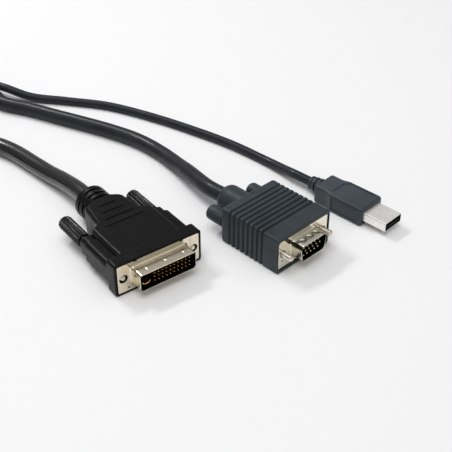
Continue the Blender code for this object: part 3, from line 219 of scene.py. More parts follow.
# USB plug
USB_HEIGHT = 9.4
USB_MIDDLE = USB_HEIGHT / 2
USB_WIDTH = 15.6
USB_WAIST_WIDTH = 13.4
USB_WIDE_END = 18.0
USB_WAIST_START = 21.0
USB_BODY_LENGTH = 28.0
USB_RADIUS = 1.3
USB_NOSE = 1.2
USB_RELIEF_RADII = (3.9, 3.6, 3.3)
USB_RELIEF_CORE = 2.9
USB_RELIEF_PITCH = 2.3
USB_RELIEF_RIB = 1.4
USB_END = USB_BODY_LENGTH + len(USB_RELIEF_RADII) * USB_RELIEF_PITCH
USB_PANEL = (2.6, 19.0)
USB_PANEL_MARGIN = 1.5
USB_PANEL_DEPTH = 0.35
USB_PANEL_CORNER = (2.4, 2.2)
# Width, height, corner radius and back
USB_CAVITY = (11.2, 5.6, 1.1, 20.35)
USB_CABLE_HOLE = (19.0, 28.8)
USB_SHELL_WIDTH = 12.0
USB_SHELL_HEIGHT = 4.5
USB_SHELL_RADIUS = 0.6
USB_SHELL_REACH = 12.0
USB_SHELL_BACK = 6.75
USB_SHELL_WALL = 0.35
# x, y, width and length
USB_WINDOW = (2.6, -4.2, 2.3, 2.0)
USB_WINDOW_RADIUS = 0.2
USB_WINDOW_DEPTH = 0.22
USB_TONGUE_HEIGHT = 1.6
USB_CONTACTS = (-3.5, -1.0, 1.0, 3.5)
# Width, start from the tongue's front, end and depth
USB_GROOVE = (1.24, 0.98, 9.0, 0.32)

# Cable sizes, and the straight lengths at their ends
TRUNK = 8.5
VIDEO_CABLE = 7.4
USB_CABLE = 4.5
STRAIGHT_OUT = 11.0
STRAIGHT_IN = 12.0

# Splitter and coil
SPLITTER_INLET = (-44.6, 211.7)
SPLITTER_HEADING = -68.0
SPLITTER_LENGTH = 30.0
SPLITTER_HEIGHT = 11.0
SPLITTER_NECK = 11.6
SPLITTER_WIDTH = 19.0
SPLITTER_RADIUS = 3.6
SPLITTER_ROUND = 1.2
SPLITTER_FLARE = (0.28, 0.36, 0.44, 0.52, 0.6, 0.68)
SPLITTER_VIDEO_OFFSET = -4.2
SPLITTER_USB_OFFSET = 5.4
COIL_CENTRE = (-101.2, 200.4)
COIL_RADIUS = 42.5
COIL_LAYERS = 3
COIL_START = 272.0
COIL_TRAVEL = 1689.0
COIL_DROP = 1630.0
TIE_THICK = 1.0
TIE_WIDTH = 6.0
TIE_ANGLE = 150.0
TIE_HEAD = 4.0

# Routes over the floor, from each plug's straight length onwards
TRUNK_ROUTE = (
    (-43.6, 70.0, 6.2),
    (-45.0, 82.0, 4.7),
    (-46.8, 95.0, 4.25),
    (-49.8, 112.0, 4.25),
    (-55.2, 125.0, 4.4),
    (-65.2, 136.1, 4.9),
    (-78.2, 142.7, 5.4),
    (-91.4, 144.7, 5.5),
    (-99.3, 144.8, 5.55),
)
VIDEO_ROUTE = (
    (7.4, 40.0, 6.8),
    (9.0, 52.0, 4.6),
    (9.2, 68.0, 3.7),
    (6.6, 84.0, 3.7),
    (1.2, 99.0, 3.7),
    (-5.6, 113.5, 3.7),
    (-14.0, 130.0, 3.7),
    (-22.8, 147.5, 3.7),
    (-31.2, 161.5, 4.0),
)
USB_ROUTE = (
    (49.0, 19.0, 3.4),
    (48.0, 32.0, 2.3),
    (43.8, 54.0, 2.25),
    (37.0, 76.0, 2.25),
    (27.5, 101.0, 2.25),
    (14.5, 127.0, 2.25),
    (-1.5, 146.5, 2.25),
    (-14.8, 160.6, 2.9),
)

# Camera, fitted to the photograph, and its angles in degrees
CAMERA_PLACE = (-195.0, -259.9, 239.6)
CAMERA_HEADING = 36.8
CAMERA_DIP = 36.19
CAMERA_LENS = 71.68

# Lamps: name, place and size in metres, and power in watts
LAMPS = (
    ("overhead_softbox", (-0.25, -0.1, 1.1), (0.7, 0.7), 4.5),
    ("back_softbox", (-0.12, 0.78, 0.88), (0.4, 0.13), 4.0),
)
LIGHT_TARGET = (0.0, 0.03, 0.0)
# Light of the room at each share of its height
ROOM_LIGHT = (
    (0.0, (0.5, 0.5, 0.5)),
    (0.35, (0.33, 0.33, 0.34)),
    (0.7, (0.36, 0.36, 0.37)),
    (1.0, (0.75, 0.75, 0.76)),
)
FLOOR_SIZE = 8.0

# Noise scales per metre, and radii of the soft edges
CLOUDS = 55.0
PATCHES = 240.0
DUST = 140.0
RIPPLES = 90.0
JACKET_SKIN = 1500.0
TARNISH = 130.0
ROLLING_LINES = 2400.0
BOARD_FIBRES = 300.0
PLASTIC_EDGE = 0.14
METAL_EDGE = 0.1

# Points round a corner and round a circle, and the angle in degrees from which an edge is sharp
CORNER = 8
ROUND = 4 * (CORNER + 1)
SHARP_ANGLE = 38.0


# Materials


def new_material(name):
    made = bpy.data.materials.new(name)
    made.use_nodes = True
    tree = made.node_tree
    return made, tree, tree.nodes["Principled BSDF"]


def feed(tree, node, **values):
    """Sets inputs, each named by its socket with underscores for spaces, to values or nodes' outputs."""
    for name, value in values.items():
        socket = node.inputs[name.replace("_", " ")]
        if isinstance(value, bpy.types.NodeSocket):
            tree.links.new(value, socket)
        else:
            socket.default_value = value


def add_node(tree, kind, **values):
    made = tree.nodes.new(kind)
    feed(tree, made, **values)
    return made


def noise(tree, scale, detail=3.0, stretch=None):
    """Noise in the piece's own metres, drawn out along an axis where stretch says."""
    place = tree.nodes.new("ShaderNodeTexCoord").outputs["Object"]
    if stretch:
        place = add_node(tree, "ShaderNodeMapping", Vector=place, Scale=stretch).outputs["Vector"]
    return add_node(tree, "ShaderNodeTexNoise", Vector=place, Scale=scale, Detail=detail).outputs["Fac"]


def ramp(tree, source, stops):
    made = add_node(tree, "ShaderNodeValToRGB", Fac=source)
    points = made.color_ramp.elements
    while len(points) < len(stops):
        points.new(0.5)
    for point, (position, colour) in zip(points, stops):
        point.position = position
        point.color = (*colour, 1.0)
    return made.outputs["Color"]


def spread(tree, source, low, high, start=0.3, end=0.7):
    values = {"Value": source, "From_Min": start, "From_Max": end, "To_Min": low, "To_Max": high}
    return add_node(tree, "ShaderNodeMapRange", **values).outputs["Result"]


def bump(tree, height, strength, distance, normal=None):
    made = add_node(tree, "ShaderNodeBump", Height=height, Strength=strength, Distance=distance * MM)
    if normal:
        feed(tree, made, Normal=normal)
    return made.outputs["Normal"]


def soft_edges(tree, radius):
    """Normals that turn over an edge as those of a small rounding do."""
    made = add_node(tree, "ShaderNodeBevel", Radius=radius * MM)
    made.samples = 4
    return made.outputs["Normal"]


def shade(colour, factor):
    return tuple(min(1.0, c * factor) for c in colour)


def plastic(name, colour, roughness, grain=2600.0, relief=0.12, shine=0.3):
    """Moulded plastic: uneven depth of colour and gloss, fine spark-eroded grain and soft edges."""
    made, tree, shader = new_material(name)
    stops = ((0.3, shade(colour, 0.8)), (0.7, shade(colour, 1.25)))
    feed(
        tree,
        shader,
        Specular_IOR_Level=shine,
        Base_Color=ramp(tree, noise(tree, CLOUDS), stops),
        Roughness=spread(tree, noise(tree, PATCHES, 5.0), roughness - 0.06, roughness + 0.08),
        Normal=bump(tree, noise(tree, grain, 4.0), relief, 0.05, soft_edges(tree, PLASTIC_EDGE)),
    )
    return made


def jacket(name, colour, roughness, gloss):
    """Extruded cable jacket: soft ripples from the wires inside, and a thin clear gloss."""
    made, tree, shader = new_material(name)
    dust = noise(tree, DUST, 5.0)
    stops = ((0.35, shade(colour, 0.85)), (0.68, shade(colour, 1.3)))
    ripples = bump(tree, noise(tree, RIPPLES, 2.0), 0.06, 0.5)
    feed(
        tree,
        shader,
        Base_Color=ramp(tree, dust, stops),
        Roughness=spread(tree, dust, roughness - 0.05, roughness + 0.07),
        Coat_Weight=gloss,
        Coat_Roughness=0.14,
        Specular_IOR_Level=0.15,
        Normal=bump(tree, noise(tree, JACKET_SKIN), 0.12, 0.04, ripples),
    )
    return made


def math_node(tree, operation, first, second=0.0):
    made = tree.nodes.new("ShaderNodeMath")
    made.operation = operation
    for socket, value in zip(made.inputs, (first, second)):
        if isinstance(value, float):
            socket.default_value = value
        else:
            tree.links.new(value, socket)
    return made.outputs["Value"]


def own_coordinates(tree):
    """The piece's own x, y and z, in the frame of its plug."""
    place = tree.nodes.new("ShaderNodeTexCoord").outputs["Object"]
    return add_node(tree, "ShaderNodeSeparateXYZ", Vector=place).outputs


def opening_shade_mask(tree, half_width, middle, half_height, lean):
    """1 on the walls that face a shell's opening, where shade is painted, and 0 elsewhere.

    Lean is how much wider the opening gets with height.
    """
    own = own_coordinates(tree)
    widened = math_node(tree, "MULTIPLY", own["Z"], -lean)
    across = math_node(tree, "ADD", math_node(tree, "ABSOLUTE", own["X"]), widened)
    beside = math_node(tree, "LESS_THAN", across, (half_width - lean * middle) * MM)
    height = math_node(tree, "ABSOLUTE", math_node(tree, "SUBTRACT", own["Z"], middle * MM))
    between = math_node(tree, "LESS_THAN", height, half_height * MM)
    return math_node(tree, "MULTIPLY", beside, between)


def with_painted_shade(tree, colour, dark, share, where):
    """The colour, with a share of the dark one painted in its place as shade where the mask is 1."""
    values = {"Color1": colour, "Color2": (*shade(dark, share), 1.0), "Fac": where}
    return add_node(tree, "ShaderNodeMixRGB", **values).outputs["Color"]


def metal(name, light, dark, roughness, stretch, opening=None, plating=1.0, tip=None):
    """Plated or rolled metal with tarnish and fine lines, and painted shade inside its opening and behind
    its tip.

    Stretch scales the lines' noise along each axis.
    """
    made, tree, shader = new_material(name)
    colour = ramp(tree, noise(tree, TARNISH, 5.0), ((0.32, dark), (0.62, light)))
    # Painted shade: the walls inside the shell's opening darkened to a small share of the dark colour
    if opening:
        colour = with_painted_shade(tree, colour, dark, 0.06, opening_shade_mask(tree, *opening))
    # Painted shade: a pin darker behind its tip, where it stands deeper in the shell
    if tip is not None:
        painted_shade_behind_tip = math_node(tree, "GREATER_THAN", own_coordinates(tree)["Y"], tip * MM)
        colour = with_painted_shade(tree, colour, dark, 0.12, painted_shade_behind_tip)
    lines = noise(tree, ROLLING_LINES, 3.0, stretch)
    feed(
        tree,
        shader,
        Metallic=plating,
        Base_Color=colour,
        Roughness=spread(tree, lines, roughness - 0.02, roughness + 0.03),
        Normal=bump(tree, lines, 0.015, 0.02, soft_edges(tree, METAL_EDGE)),
    )
    return made


VIDEO_LEAN = math.tan(math.radians(VIDEO_SHELL_SLOPE))
VIDEO_MEAN_WIDTH = VIDEO_SHELL_WIDTH - VIDEO_SHELL_HEIGHT * VIDEO_LEAN
# Openings whose inner walls get painted shade: half width, middle, half height and lean of those walls
BIG_OPENING_SHADE = (BIG_SHELL_WIDTH / 2 - 0.25, BIG_MIDDLE, BIG_SHELL_HEIGHT / 2 - 0.35, 0.0)
VIDEO_OPENING_SHADE = (VIDEO_MEAN_WIDTH / 2 - 0.25, VIDEO_MIDDLE, VIDEO_SHELL_HEIGHT / 2 - 0.35, VIDEO_LEAN)
USB_OPENING_SHADE = (USB_SHELL_WIDTH / 2 - 0.28, USB_MIDDLE, USB_SHELL_HEIGHT / 2 - 0.28, 0.0)

BLACK = plastic("black_moulding", (0.0021, 0.0021, 0.0026), 0.34, shine=0.16)
KNOB_BLACK = plastic("black_knob", (0.0026, 0.0026, 0.0030), 0.30, 1800.0, 0.02)
SLATE = plastic("slate_moulding", (0.031, 0.040, 0.046), 0.42, shine=0.22)
USB_SLATE = plastic("slate_usb_moulding", (0.040, 0.050, 0.058), 0.38, 3200.0)
CARRIER = plastic("contact_insert", (0.005, 0.005, 0.005), 0.6, shine=0.1)
PREMOULD = plastic("clear_inner_mould", (0.70, 0.68, 0.61), 0.55, 900.0)
TRUNK_JACKET = jacket("glossy_jacket", (0.0040, 0.0040, 0.0046), 0.30, 0.9)
BRANCH_JACKET = jacket("satin_jacket", (0.019, 0.020, 0.024), 0.42, 0.12)

# Light and dark colour of each metal; the dark one tints its tarnish and its painted shade
PLATE_TIN = ((0.84, 0.77, 0.62), (0.77, 0.69, 0.53))
SHELL_TIN = ((0.86, 0.82, 0.70), (0.78, 0.73, 0.58))
USB_NICKEL = ((0.97, 0.96, 0.93), (0.90, 0.88, 0.84))
STEEL = ((0.80, 0.73, 0.66), (0.62, 0.55, 0.48))
DEEP_GOLD = ((1.0, 0.70, 0.26), (0.90, 0.52, 0.15))
LIGHT_GOLD = ((0.95, 0.86, 0.60), (0.70, 0.56, 0.32))
# The shells' metals paint shade on the walls inside their openings
TIN = metal("tinned_plate", *PLATE_TIN, 0.22, (1.0, 1.0, 0.12), opening=BIG_OPENING_SHADE)
BRIGHT_TIN = metal("drawn_shell", *SHELL_TIN, 0.17, (0.15, 1.0, 1.0), opening=VIDEO_OPENING_SHADE)
NICKEL = metal("nickel_plate", *USB_NICKEL, 0.24, (1.0, 0.1, 1.0), opening=USB_OPENING_SHADE, plating=0.6)
SCREW_STEEL = metal("turned_steel", *STEEL, 0.3, (1.0, 0.3, 1.0))
GOLD = metal("gold_flash", *DEEP_GOLD, 0.22, (1.0, 0.2, 1.0))
# Pale gold paints shade on the pins behind their tips
PALE_GOLD = metal("pale_gold", *LIGHT_GOLD, 0.3, (1.0, 0.2, 1.0), tip=VIDEO_PIN_TIP + 0.55)


# Outlines and forms


def rounded_polygon(corners, radii, steps=CORNER):
    """The corners' outline with each corner turned into an arc of steps + 1 points."""
    points = []
    for i, corner in enumerate(corners):
        here = Vector(corner)
        before = (Vector(corners[i - 1]) - here).normalized()
        after = (Vector(corners[(i + 1) % len(corners)]) - here).normalized()
        half = math.acos(max(-1.0, min(1.0, before.dot(after)))) / 2
        middle = here + (before + after).normalized() * (radii[i] / math.sin(half))
        start = here + before * (radii[i] / math.tan(half)) - middle
        end = here + after * (radii[i] / math.tan(half)) - middle
        sweep = start.angle_signed(end)
        for k in range(steps + 1):
            points.append(middle + Matrix.Rotation(-sweep * k / steps, 2) @ start)
    return points


def rounded_box(width, low, high, radius, middle=0.0, steps=CORNER):
    left, right = middle - width / 2, middle + width / 2
    return rounded_polygon(((left, low), (right, low), (right, high), (left, high)), (radius,) * 4, steps)


def arc(radius, middle, turns):
    return [Vector((middle[0] + radius * math.cos(a), middle[1] + radius * math.sin(a))) for a in turns]


def circle(radius, middle=(0.0, 0.0), steps=ROUND):
    """A circle that starts where rounded_box starts, so that the two join without a twist."""
    first = -0.75 * math.pi - math.pi / 4 * (1 - 4 / steps)
    return arc(radius, middle, [first + 2 * math.pi * k / steps for k in range(steps)])


def inset(points, distance):
    """Each point of a closed outline moved inwards along the mean normal of its two sides."""
    moved = []
    for i, point in enumerate(points):
        before = (point - points[i - 1]).normalized()
        after = (points[(i + 1) % len(points)] - point).normalized()
        along = (before + after).normalized()
        moved.append(point + Vector((-along.y, along.x)) * distance)
    return moved


def skin(rows):
    """A closed form through rows of as many points each, capped at both ends."""
    made = bmesh.new()
    rings = [[made.verts.new(point) for point in row] for row in rows]
    for front, back in zip(rings, rings[1:]):
        for i in range(len(front)):
            made.faces.new((front[i - 1], front[i], back[i], back[i - 1]))
    made.faces.new(rings[0])
    made.faces.new(rings[-1])
    bmesh.ops.recalc_face_normals(made, faces=made.faces)
    return made


def loft(stations):
    """A closed form through (y, outline) stations, each outline of as many (x, z) points."""
    return skin([[(p[0], y, p[1]) for p in outline] for y, outline in stations])


def bar(outline, front, back):
    return loft(((front, outline), (back, outline)))


def rod(x, z, radius, front, back, steps=ROUND):
    return bar(circle(radius, (x, z), steps), front, back)


def box(x_low, x_high, y_low, y_high, z_low, z_high):
    corners = [Vector(p) for p in ((x_low, z_low), (x_high, z_low), (x_high, z_high), (x_low, z_high))]
    return bar(corners, y_low, y_high)


def rounding(depth, angles):
    """A quarter round's distances from an end and from a side, at each angle in degrees."""
    turns = [math.radians(a) for a in angles]
    return [(depth * (1 - math.sin(a)), depth * (1 - math.cos(a))) for a in turns]


def mirrored(front, back, profile, outline_at):
    """Stations along a profile of (distance in, size), inwards from the front and outwards to the back."""
    rise = [(front + into, outline_at(size)) for into, size in profile]
    return rise + [(back - into, outline_at(size)) for into, size in reversed(profile)]


def eased_ends(front, back, edge, outline_at, steps=3):
    """Stations with both ends rounded over; outline_at(shrink) gives the outline at each depth."""
    profile = rounding(edge, [90 - 90 * k / steps for k in range(steps + 1)])
    return mirrored(front, back, profile, outline_at)


def together(forms):
    """Several separate closed forms in one bmesh."""
    whole = bmesh.new()
    for form in forms:
        mesh = bpy.data.meshes.new("form")
        form.to_mesh(mesh)
        form.free()
        whole.from_mesh(mesh)
        bpy.data.meshes.remove(mesh)
    return whole


def upright(outline, low, high):
    """A form with an (x, y) outline, from one height to another."""
    return skin([[(p[0], p[1], z) for p in outline] for z in (low, high)])


def dent(x, y, surface, radius, depth, steps=32):
    """A shallow bowl let into a top surface, closed by a lid above that surface."""
    turns = [2 * math.pi * k / steps for k in range(steps)]
    shares = (1.0, 0.9, 0.75, 0.6, 0.45, 0.3, 0.15)
    levels = [(1.0, surface + depth)] + [(s, surface - depth * (1 - s * s)) for s in shares]
    return skin([[(p.x, p.y, z) for p in arc(radius * share, (x, y), turns)] for share, z in levels])


def ring_sector(radius_in, radius_out, front, back, height, start, end, steps=16):
    """A block bent round the plug's own axis, from one angle to another."""
    turns = [math.radians(start + (end - start) * k / steps) for k in range(steps + 1)]
    middle = (0.0, height)
    return bar(arc(radius_in, middle, turns) + arc(radius_out, middle, reversed(turns)), front, back)


def screw_holes(spacing, height, radius, back):
    return [rod(side * spacing / 2, height, radius, -CLEAR, back) for side in (-1, 1)]


def plate_holes(spacing, height, radius, earth):
    """A face plate's two screw holes and its small earth hole."""
    x, z = earth
    earth_hole = rod(x, height + z, EARTH_HOLE_RADIUS, -CLEAR, PLATE_HOLE_END, 16)
    return together(screw_holes(spacing, height, radius, PLATE_HOLE_END) + [earth_hole])


def drawn_shell(outline_at, tip, front, flare, seat):
    """A drawn shell with an eased tip, flared where it meets the front of its plate."""
    stations = [(tip + y, outline_at(shrink)) for y, shrink in SHELL_TIP]
    stations.append((front - flare, outline_at()))
    foot = rounding(flare, (22.5, 45.0, 67.5, 90.0))
    stations += [(front - back, outline_at(-out)) for back, out in foot]
    stations.append((front + seat, outline_at(-flare)))
    return loft(stations)


def plug_frame(plug):
    place = Matrix.Translation((plug[0] * MM, plug[1] * MM, 0.0))
    return place @ Matrix.Rotation(math.radians(plug[2]), 4, "Z")


def made_object(name, form, plug, look):
    bmesh.ops.scale(form, verts=form.verts, vec=(MM, MM, MM))
    bmesh.ops.recalc_face_normals(form, faces=form.faces)
    mesh = bpy.data.meshes.new(name)
    form.to_mesh(mesh)
    form.free()
    mesh.materials.append(look)
    obj = bpy.data.objects.new(name, mesh)
    obj.matrix_world = plug_frame(plug)
    bpy.context.collection.objects.link(obj)
    return obj


def bake(obj):
    """Puts what an object's modifiers make in the place of its mesh."""
    bpy.context.view_layer.update()
    depsgraph = bpy.context.evaluated_depsgraph_get()
    whole = bpy.data.meshes.new_from_object(obj.evaluated_get(depsgraph))
    obj.modifiers.clear()
    obj.data = whole


def piece(name, form, plug, look, stands_for, steps=(), body="cable"):
    """One piece that rides on a body for its CAD nodes: its form, joined with and cut by those in steps."""
    obj = made_object(name, form, plug, look)
    helpers = []
    for operation, tool in steps:
        helper = made_object(f"{name}_tool", tool, plug, look)
        helpers.append(helper)
        step = obj.modifiers.new(helper.name, "BOOLEAN")
        step.operation = operation
        step.object = helper
        step.solver = "EXACT"
    if helpers:
        bake(obj)
        for helper in helpers:
            bpy.data.objects.remove(helper, do_unlink=True)
    obj.data.shade_smooth()
    obj.data.set_sharp_from_angle(angle=math.radians(SHARP_ANGLE))
    if body == "cable":
        flats = obj.modifiers.new("flats_stay_flat", "WEIGHTED_NORMAL")
        flats.keep_sharp = True
        bake(obj)
    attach(obj, body)
    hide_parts(*stands_for)
    return obj


def cut(*forms):
    return [("DIFFERENCE", form) for form in forms]


def join(*forms):
    return [("UNION", form) for form in forms]


# The 30-pin plug


def big_outline(shrink=0.0):
    half, rise = BIG_SHELL_WIDTH / 2, BIG_SHELL_HEIGHT / 2
    low, high = BIG_MIDDLE - rise, BIG_MIDDLE + rise
    corners = ((-half, low), (half, low), (half, high), (-half, high))
    return inset(rounded_polygon(corners, BIG_SHELL_RADII), shrink)


def big_box(width, height, radius):
    return rounded_box(width, BIG_MIDDLE - height / 2, BIG_MIDDLE + height / 2, radius)


def big_body():
    def flange(shrink):
        return rounded_box(BIG_FLANGE_WIDTH - 2 * shrink, shrink, BIG_HEIGHT - shrink, BIG_FLANGE_RADIUS)

    def body(width, radius):
        return rounded_box(width, BIG_BODY_INSET, BIG_HEIGHT - BIG_BODY_INSET, radius)

    def collar(shrink):
        return circle(BIG_HEIGHT / 2 - shrink, (0.0, BIG_MIDDLE))

    stations = eased_ends(0.0, BIG_FLANGE_DEPTH, BIG_FLANGE_ROUND, flange)
    stations.append((BIG_FLANGE_DEPTH, body(BIG_BODY_WIDTH, BIG_BODY_RADIUS)))
    stations += [(y, body(width, radius)) for y, width, radius in BIG_NECK]
    stations.append((BIG_COLLAR_START, collar(BIG_NECK_STEP)))
    stations += eased_ends(BIG_COLLAR_START, BIG_END, BIG_COLLAR_ROUND, collar)
    plate = big_box(BIG_PLATE_WIDTH + 2 * GAP, BIG_PLATE_HEIGHT + 2 * GAP, BIG_PLATE_RADIUS + GAP)
    can = big_box(BIG_CAN_WIDTH + 2 * GAP, BIG_CAN_HEIGHT + 2 * GAP, BIG_CAN_RADIUS + GAP)
    steps = join(big_rail(-BIG_SCREWS / 2), big_rail(BIG_SCREWS / 2), together(big_grip_bars()))
    steps += cut(
        together(big_collar_slots()),
        bar(plate, -CLEAR, BIG_PLATE_THICK + GAP),
        bar(can, 0.0, BIG_CAN_END + GAP),
        rod(0.0, BIG_MIDDLE, TRUNK / 2 + GAP, *BIG_CABLE_HOLE),
        together(screw_holes(BIG_SCREWS, BIG_MIDDLE, SCREW_RADIUS + GAP, BIG_CHANNEL_END)),
    )
    piece("big_body", loft(stations), BIG_PLUG, BLACK, ("big_plug_overmould",), steps)


def big_rail(x):
    """The raised channel that a jackscrew runs through, with a smaller step at its rear."""

    def section(shrink):
        low, high = BIG_MIDDLE - RAIL_HEIGHT / 2 + shrink, BIG_MIDDLE + RAIL_HEIGHT / 2 - shrink
        return rounded_box(RAIL_WIDTH - 2 * shrink, low, high, RAIL_RADIUS, x)

    profile = (
        (BIG_FLANGE_DEPTH - 0.6, 0.0),
        (RAIL_STEP_AT, 0.0),
        (RAIL_STEP_AT + 0.25, 0.1),
        (RAIL_STEP_AT + 0.5, RAIL_STEP),
        (RAIL_END - 0.4, RAIL_STEP),
        (RAIL_END - 0.12, RAIL_STEP + 0.12),
        (RAIL_END, RAIL_STEP + 0.4),
    )
    return loft([(y, section(shrink)) for y, shrink in profile])


def big_grip_bars():
    low, high = BIG_BODY_INSET, BIG_HEIGHT - BIG_BODY_INSET
    for y, length in BIG_BARS:
        above = (high - BIG_BAR_SUNK, high + BIG_BAR_PROUD)
        below = (low - BIG_BAR_PROUD, low + BIG_BAR_SUNK)
        for bottom, top in (above, below):

            def section(shrink, bottom=bottom, top=top, length=length):
                return rounded_box(length - 2 * shrink, bottom + shrink, top - shrink, 0.25, 0.0, 3)

            yield loft(eased_ends(y - BIG_BAR_WIDTH / 2, y + BIG_BAR_WIDTH / 2, 0.2, section, 2))


def big_collar_slots():
    bottom, top = BIG_HEIGHT / 2 - BIG_SLOT_DEPTH, BIG_HEIGHT / 2 + CLEAR
    for start in BIG_SLOTS:
        front = BIG_COLLAR_START + start
        back = front + BIG_SLOT_WIDTH
        for quarter in range(4):
            first = 90.0 * quarter + 45.0 + BIG_SLOT_BRIDGE / 2
            last = first + 90.0 - BIG_SLOT_BRIDGE
            yield ring_sector(bottom, top, front, back, BIG_MIDDLE, first, last)


def big_face():
    low, high = BIG_MIDDLE - BIG_PLATE_HEIGHT / 2, BIG_MIDDLE + BIG_PLATE_HEIGHT / 2
    tip = -BIG_SHELL_REACH

    def plate(shrink):
        return rounded_box(BIG_PLATE_WIDTH - 2 * shrink, low + shrink, high - shrink, BIG_PLATE_RADIUS)

    x, half, depth, margin = BIG_CREASE
    ends = (-CLEAR, depth, low + margin, high - margin)
    creases = [box(s * x - half, s * x + half, *ends) for s in (-1, 1)]
    x, half, depth = BIG_NOTCH
    ends = (-CLEAR, PLATE_HOLE_END, high - depth, high + CLEAR)
    notches = [box(s * x - half, s * x + half, *ends) for s in (-1, 1)]
    apart, y, radius, depth = BIG_DENTS
    top = BIG_MIDDLE + BIG_SHELL_HEIGHT / 2
    steps = join(drawn_shell(big_outline, tip, 0.0, BIG_SHELL_FLARE, BIG_PLATE_THICK / 2))
    steps += cut(
        bar(big_outline(SHELL_WALL), tip - CLEAR, BIG_PLATE_THICK + CLEAR),
        plate_holes(BIG_SCREWS, BIG_MIDDLE, BIG_PLATE_HOLE_RADIUS, BIG_EARTH_HOLE),
        together(creases),
        together(notches),
        together([dent(x, y, top, radius, depth) for x in (-apart, 0.0, apart)]),
    )
    form = loft(eased_ends(0.0, BIG_PLATE_THICK, 0.15, plate, 2))
    piece("big_face_and_shell", form, BIG_PLUG, TIN, ("big_plug_shell",), steps)


def big_pin_places():
    for row in range(BIG_PIN_ROWS):
        for column in range(BIG_PIN_COLUMNS):
            yield BIG_PIN_FIRST + column * BIG_PIN_PITCH, BIG_MIDDLE + (row - 1) * BIG_PIN_PITCH


def big_insert():
    """The black insert with a shallow square pocket round each pin, and a slit for the blade."""
    form = bar(big_outline(SHELL_WALL + GAP), BIG_CARRIER_FRONT, BIG_CARRIER_BACK)
    width, height, radius, front, back = BIG_INSERT_FLANGE
    steps = join(bar(big_box(width, height, radius), front, back))
    half, rise, depth = BIG_PIN_POCKET
    ends = (-2.0, BIG_CARRIER_FRONT + depth)
    pockets = [box(x - half, x + half, *ends, z - rise, z + rise) for x, z in big_pin_places()]
    steps += cut(together(pockets), bar(blade_outline(PIN_GAP), -3.0, BIG_CARRIER_BACK + CLEAR))
    piece("big_insert", form, BIG_PLUG, CARRIER, ("big_plug_contact_carrier",), steps)


def big_pins():
    forms = []
    for x, z in big_pin_places():

        def section(scale, x=x, z=z):
            rise = BIG_PIN_HEIGHT / 2 * scale
            return rounded_box(BIG_PIN_WIDTH * scale, z - rise, z + rise, 0.08 * scale, x, 2)

        forms.append(loft([(y, section(scale)) for y, scale in BIG_PIN_PROFILE]))
    piece("big_pins", together(forms), BIG_PLUG, GOLD, ("big_plug_contact_carrier",))


def blade_outline(grow=0.0):
    """The curved section of the earth blade: an arc that sags in its middle."""
    half = BLADE_WIDTH / 2 + grow
    bend = (half * half + BLADE_SAG * BLADE_SAG) / (2 * BLADE_SAG)
    centre = Vector((BLADE_MIDDLE, BIG_MIDDLE + BLADE_DROP + bend))
    reach = math.asin(half / bend)
    turns = [-math.pi / 2 + reach * (k / 8 - 1) for k in range(17)]
    thick = BLADE_THICK / 2 + grow
    outer = [centre + (bend + thick) * Vector((math.cos(a), math.sin(a))) for a in turns]
    inner = [centre + (bend - thick) * Vector((math.cos(a), math.sin(a))) for a in reversed(turns)]
    return outer + inner


def big_blade():
    ends = ((BIG_PIN_TIP, -0.18), (BIG_PIN_TIP + 0.3, 0.0), (BIG_CARRIER_BACK, 0.0))
    form = loft([(y, blade_outline(grow)) for y, grow in ends])
    piece("big_blade", form, BIG_PLUG, GOLD, ("big_plug_earth_blade",))


def fluted(radius, depth, middle):
    """An outline with rounded lengthwise flutes."""
    points = []
    for k, point in enumerate(circle(1.0, (0.0, 0.0), KNOB_POINTS)):
        wave = (1 - math.cos(2 * math.pi * BIG_KNOB_FLUTES * k / KNOB_POINTS)) / 2
        points.append(Vector(middle) + point * (radius - depth * wave**1.6))
    return points


def threaded(x, z, tip, back):
    """A jackscrew with a cut thread as a true helix, a pointed tip and a plain end inside the knob."""
    stations = [(tip, SCREW_RADIUS * 0.62, 0.0), (tip + 0.45, SCREW_RADIUS - 0.12, 0.0)]
    y = tip + 0.5
    while y < back - 0.3:
        stations.append((y, SCREW_RADIUS, THREAD_DEPTH))
        y += THREAD_PITCH / 6
    stations.append((back, SCREW_RADIUS - THREAD_DEPTH / 2, 0.0))
    rows = []
    for y, radius, depth in stations:
        row = []
        for k in range(THREAD_POINTS):
            turn = 2 * math.pi * k / THREAD_POINTS
            phase = (y / THREAD_PITCH + k / THREAD_POINTS) % 1.0
            r = radius - depth * abs(2 * phase - 1)
            row.append((x + r * math.cos(turn), y, z + r * math.sin(turn)))
        rows.append(row)
    return skin(rows)


def thumbscrew(kind, word, plug, middle, knob, look, front, tip):
    """A knob and the jackscrew that is fixed in it, on their own body."""
    body = f"{kind}_{word}_thumbscrew"
    hole = cut(rod(*middle, SCREW_RADIUS + PIN_GAP, front - CLEAR, front + SCREW_SEAT + GAP))
    piece(f"{kind}_knob_{word}", loft(knob), plug, look, (f"{kind}_plug_{word}_knob",), hole, body)
    screw = threaded(*middle, tip, front + SCREW_SEAT)
    nodes = (f"{kind}_plug_{word}_screw",)
    piece(f"{kind}_screw_{word}", screw, plug, SCREW_STEEL, nodes, (), body)


def big_thumbscrews():
    front = RAIL_END + GAP
    shoulder = front + KNOB_NECK
    for side, word in ((-1, "left"), (1, "right")):
        middle = (side * BIG_SCREWS / 2, BIG_MIDDLE)

        def flutes(size, middle=middle):
            shrink, share = size
            return fluted(BIG_KNOB_RADIUS - shrink, BIG_KNOB_FLUTE * share, middle)

        neck = ((front, 0.2), (front + 0.2, 0.0), (shoulder, 0.0))
        knob = [(y, circle(KNOB_NECK_RADIUS - shrink, middle, KNOB_POINTS)) for y, shrink in neck]
        knob += mirrored(shoulder, shoulder + BIG_KNOB_LENGTH, BIG_KNOB_EDGE, flutes)
        thumbscrew("big", word, BIG_PLUG, middle, knob, KNOB_BLACK, front, BIG_SCREW_TIP)


# The 15-pin plug


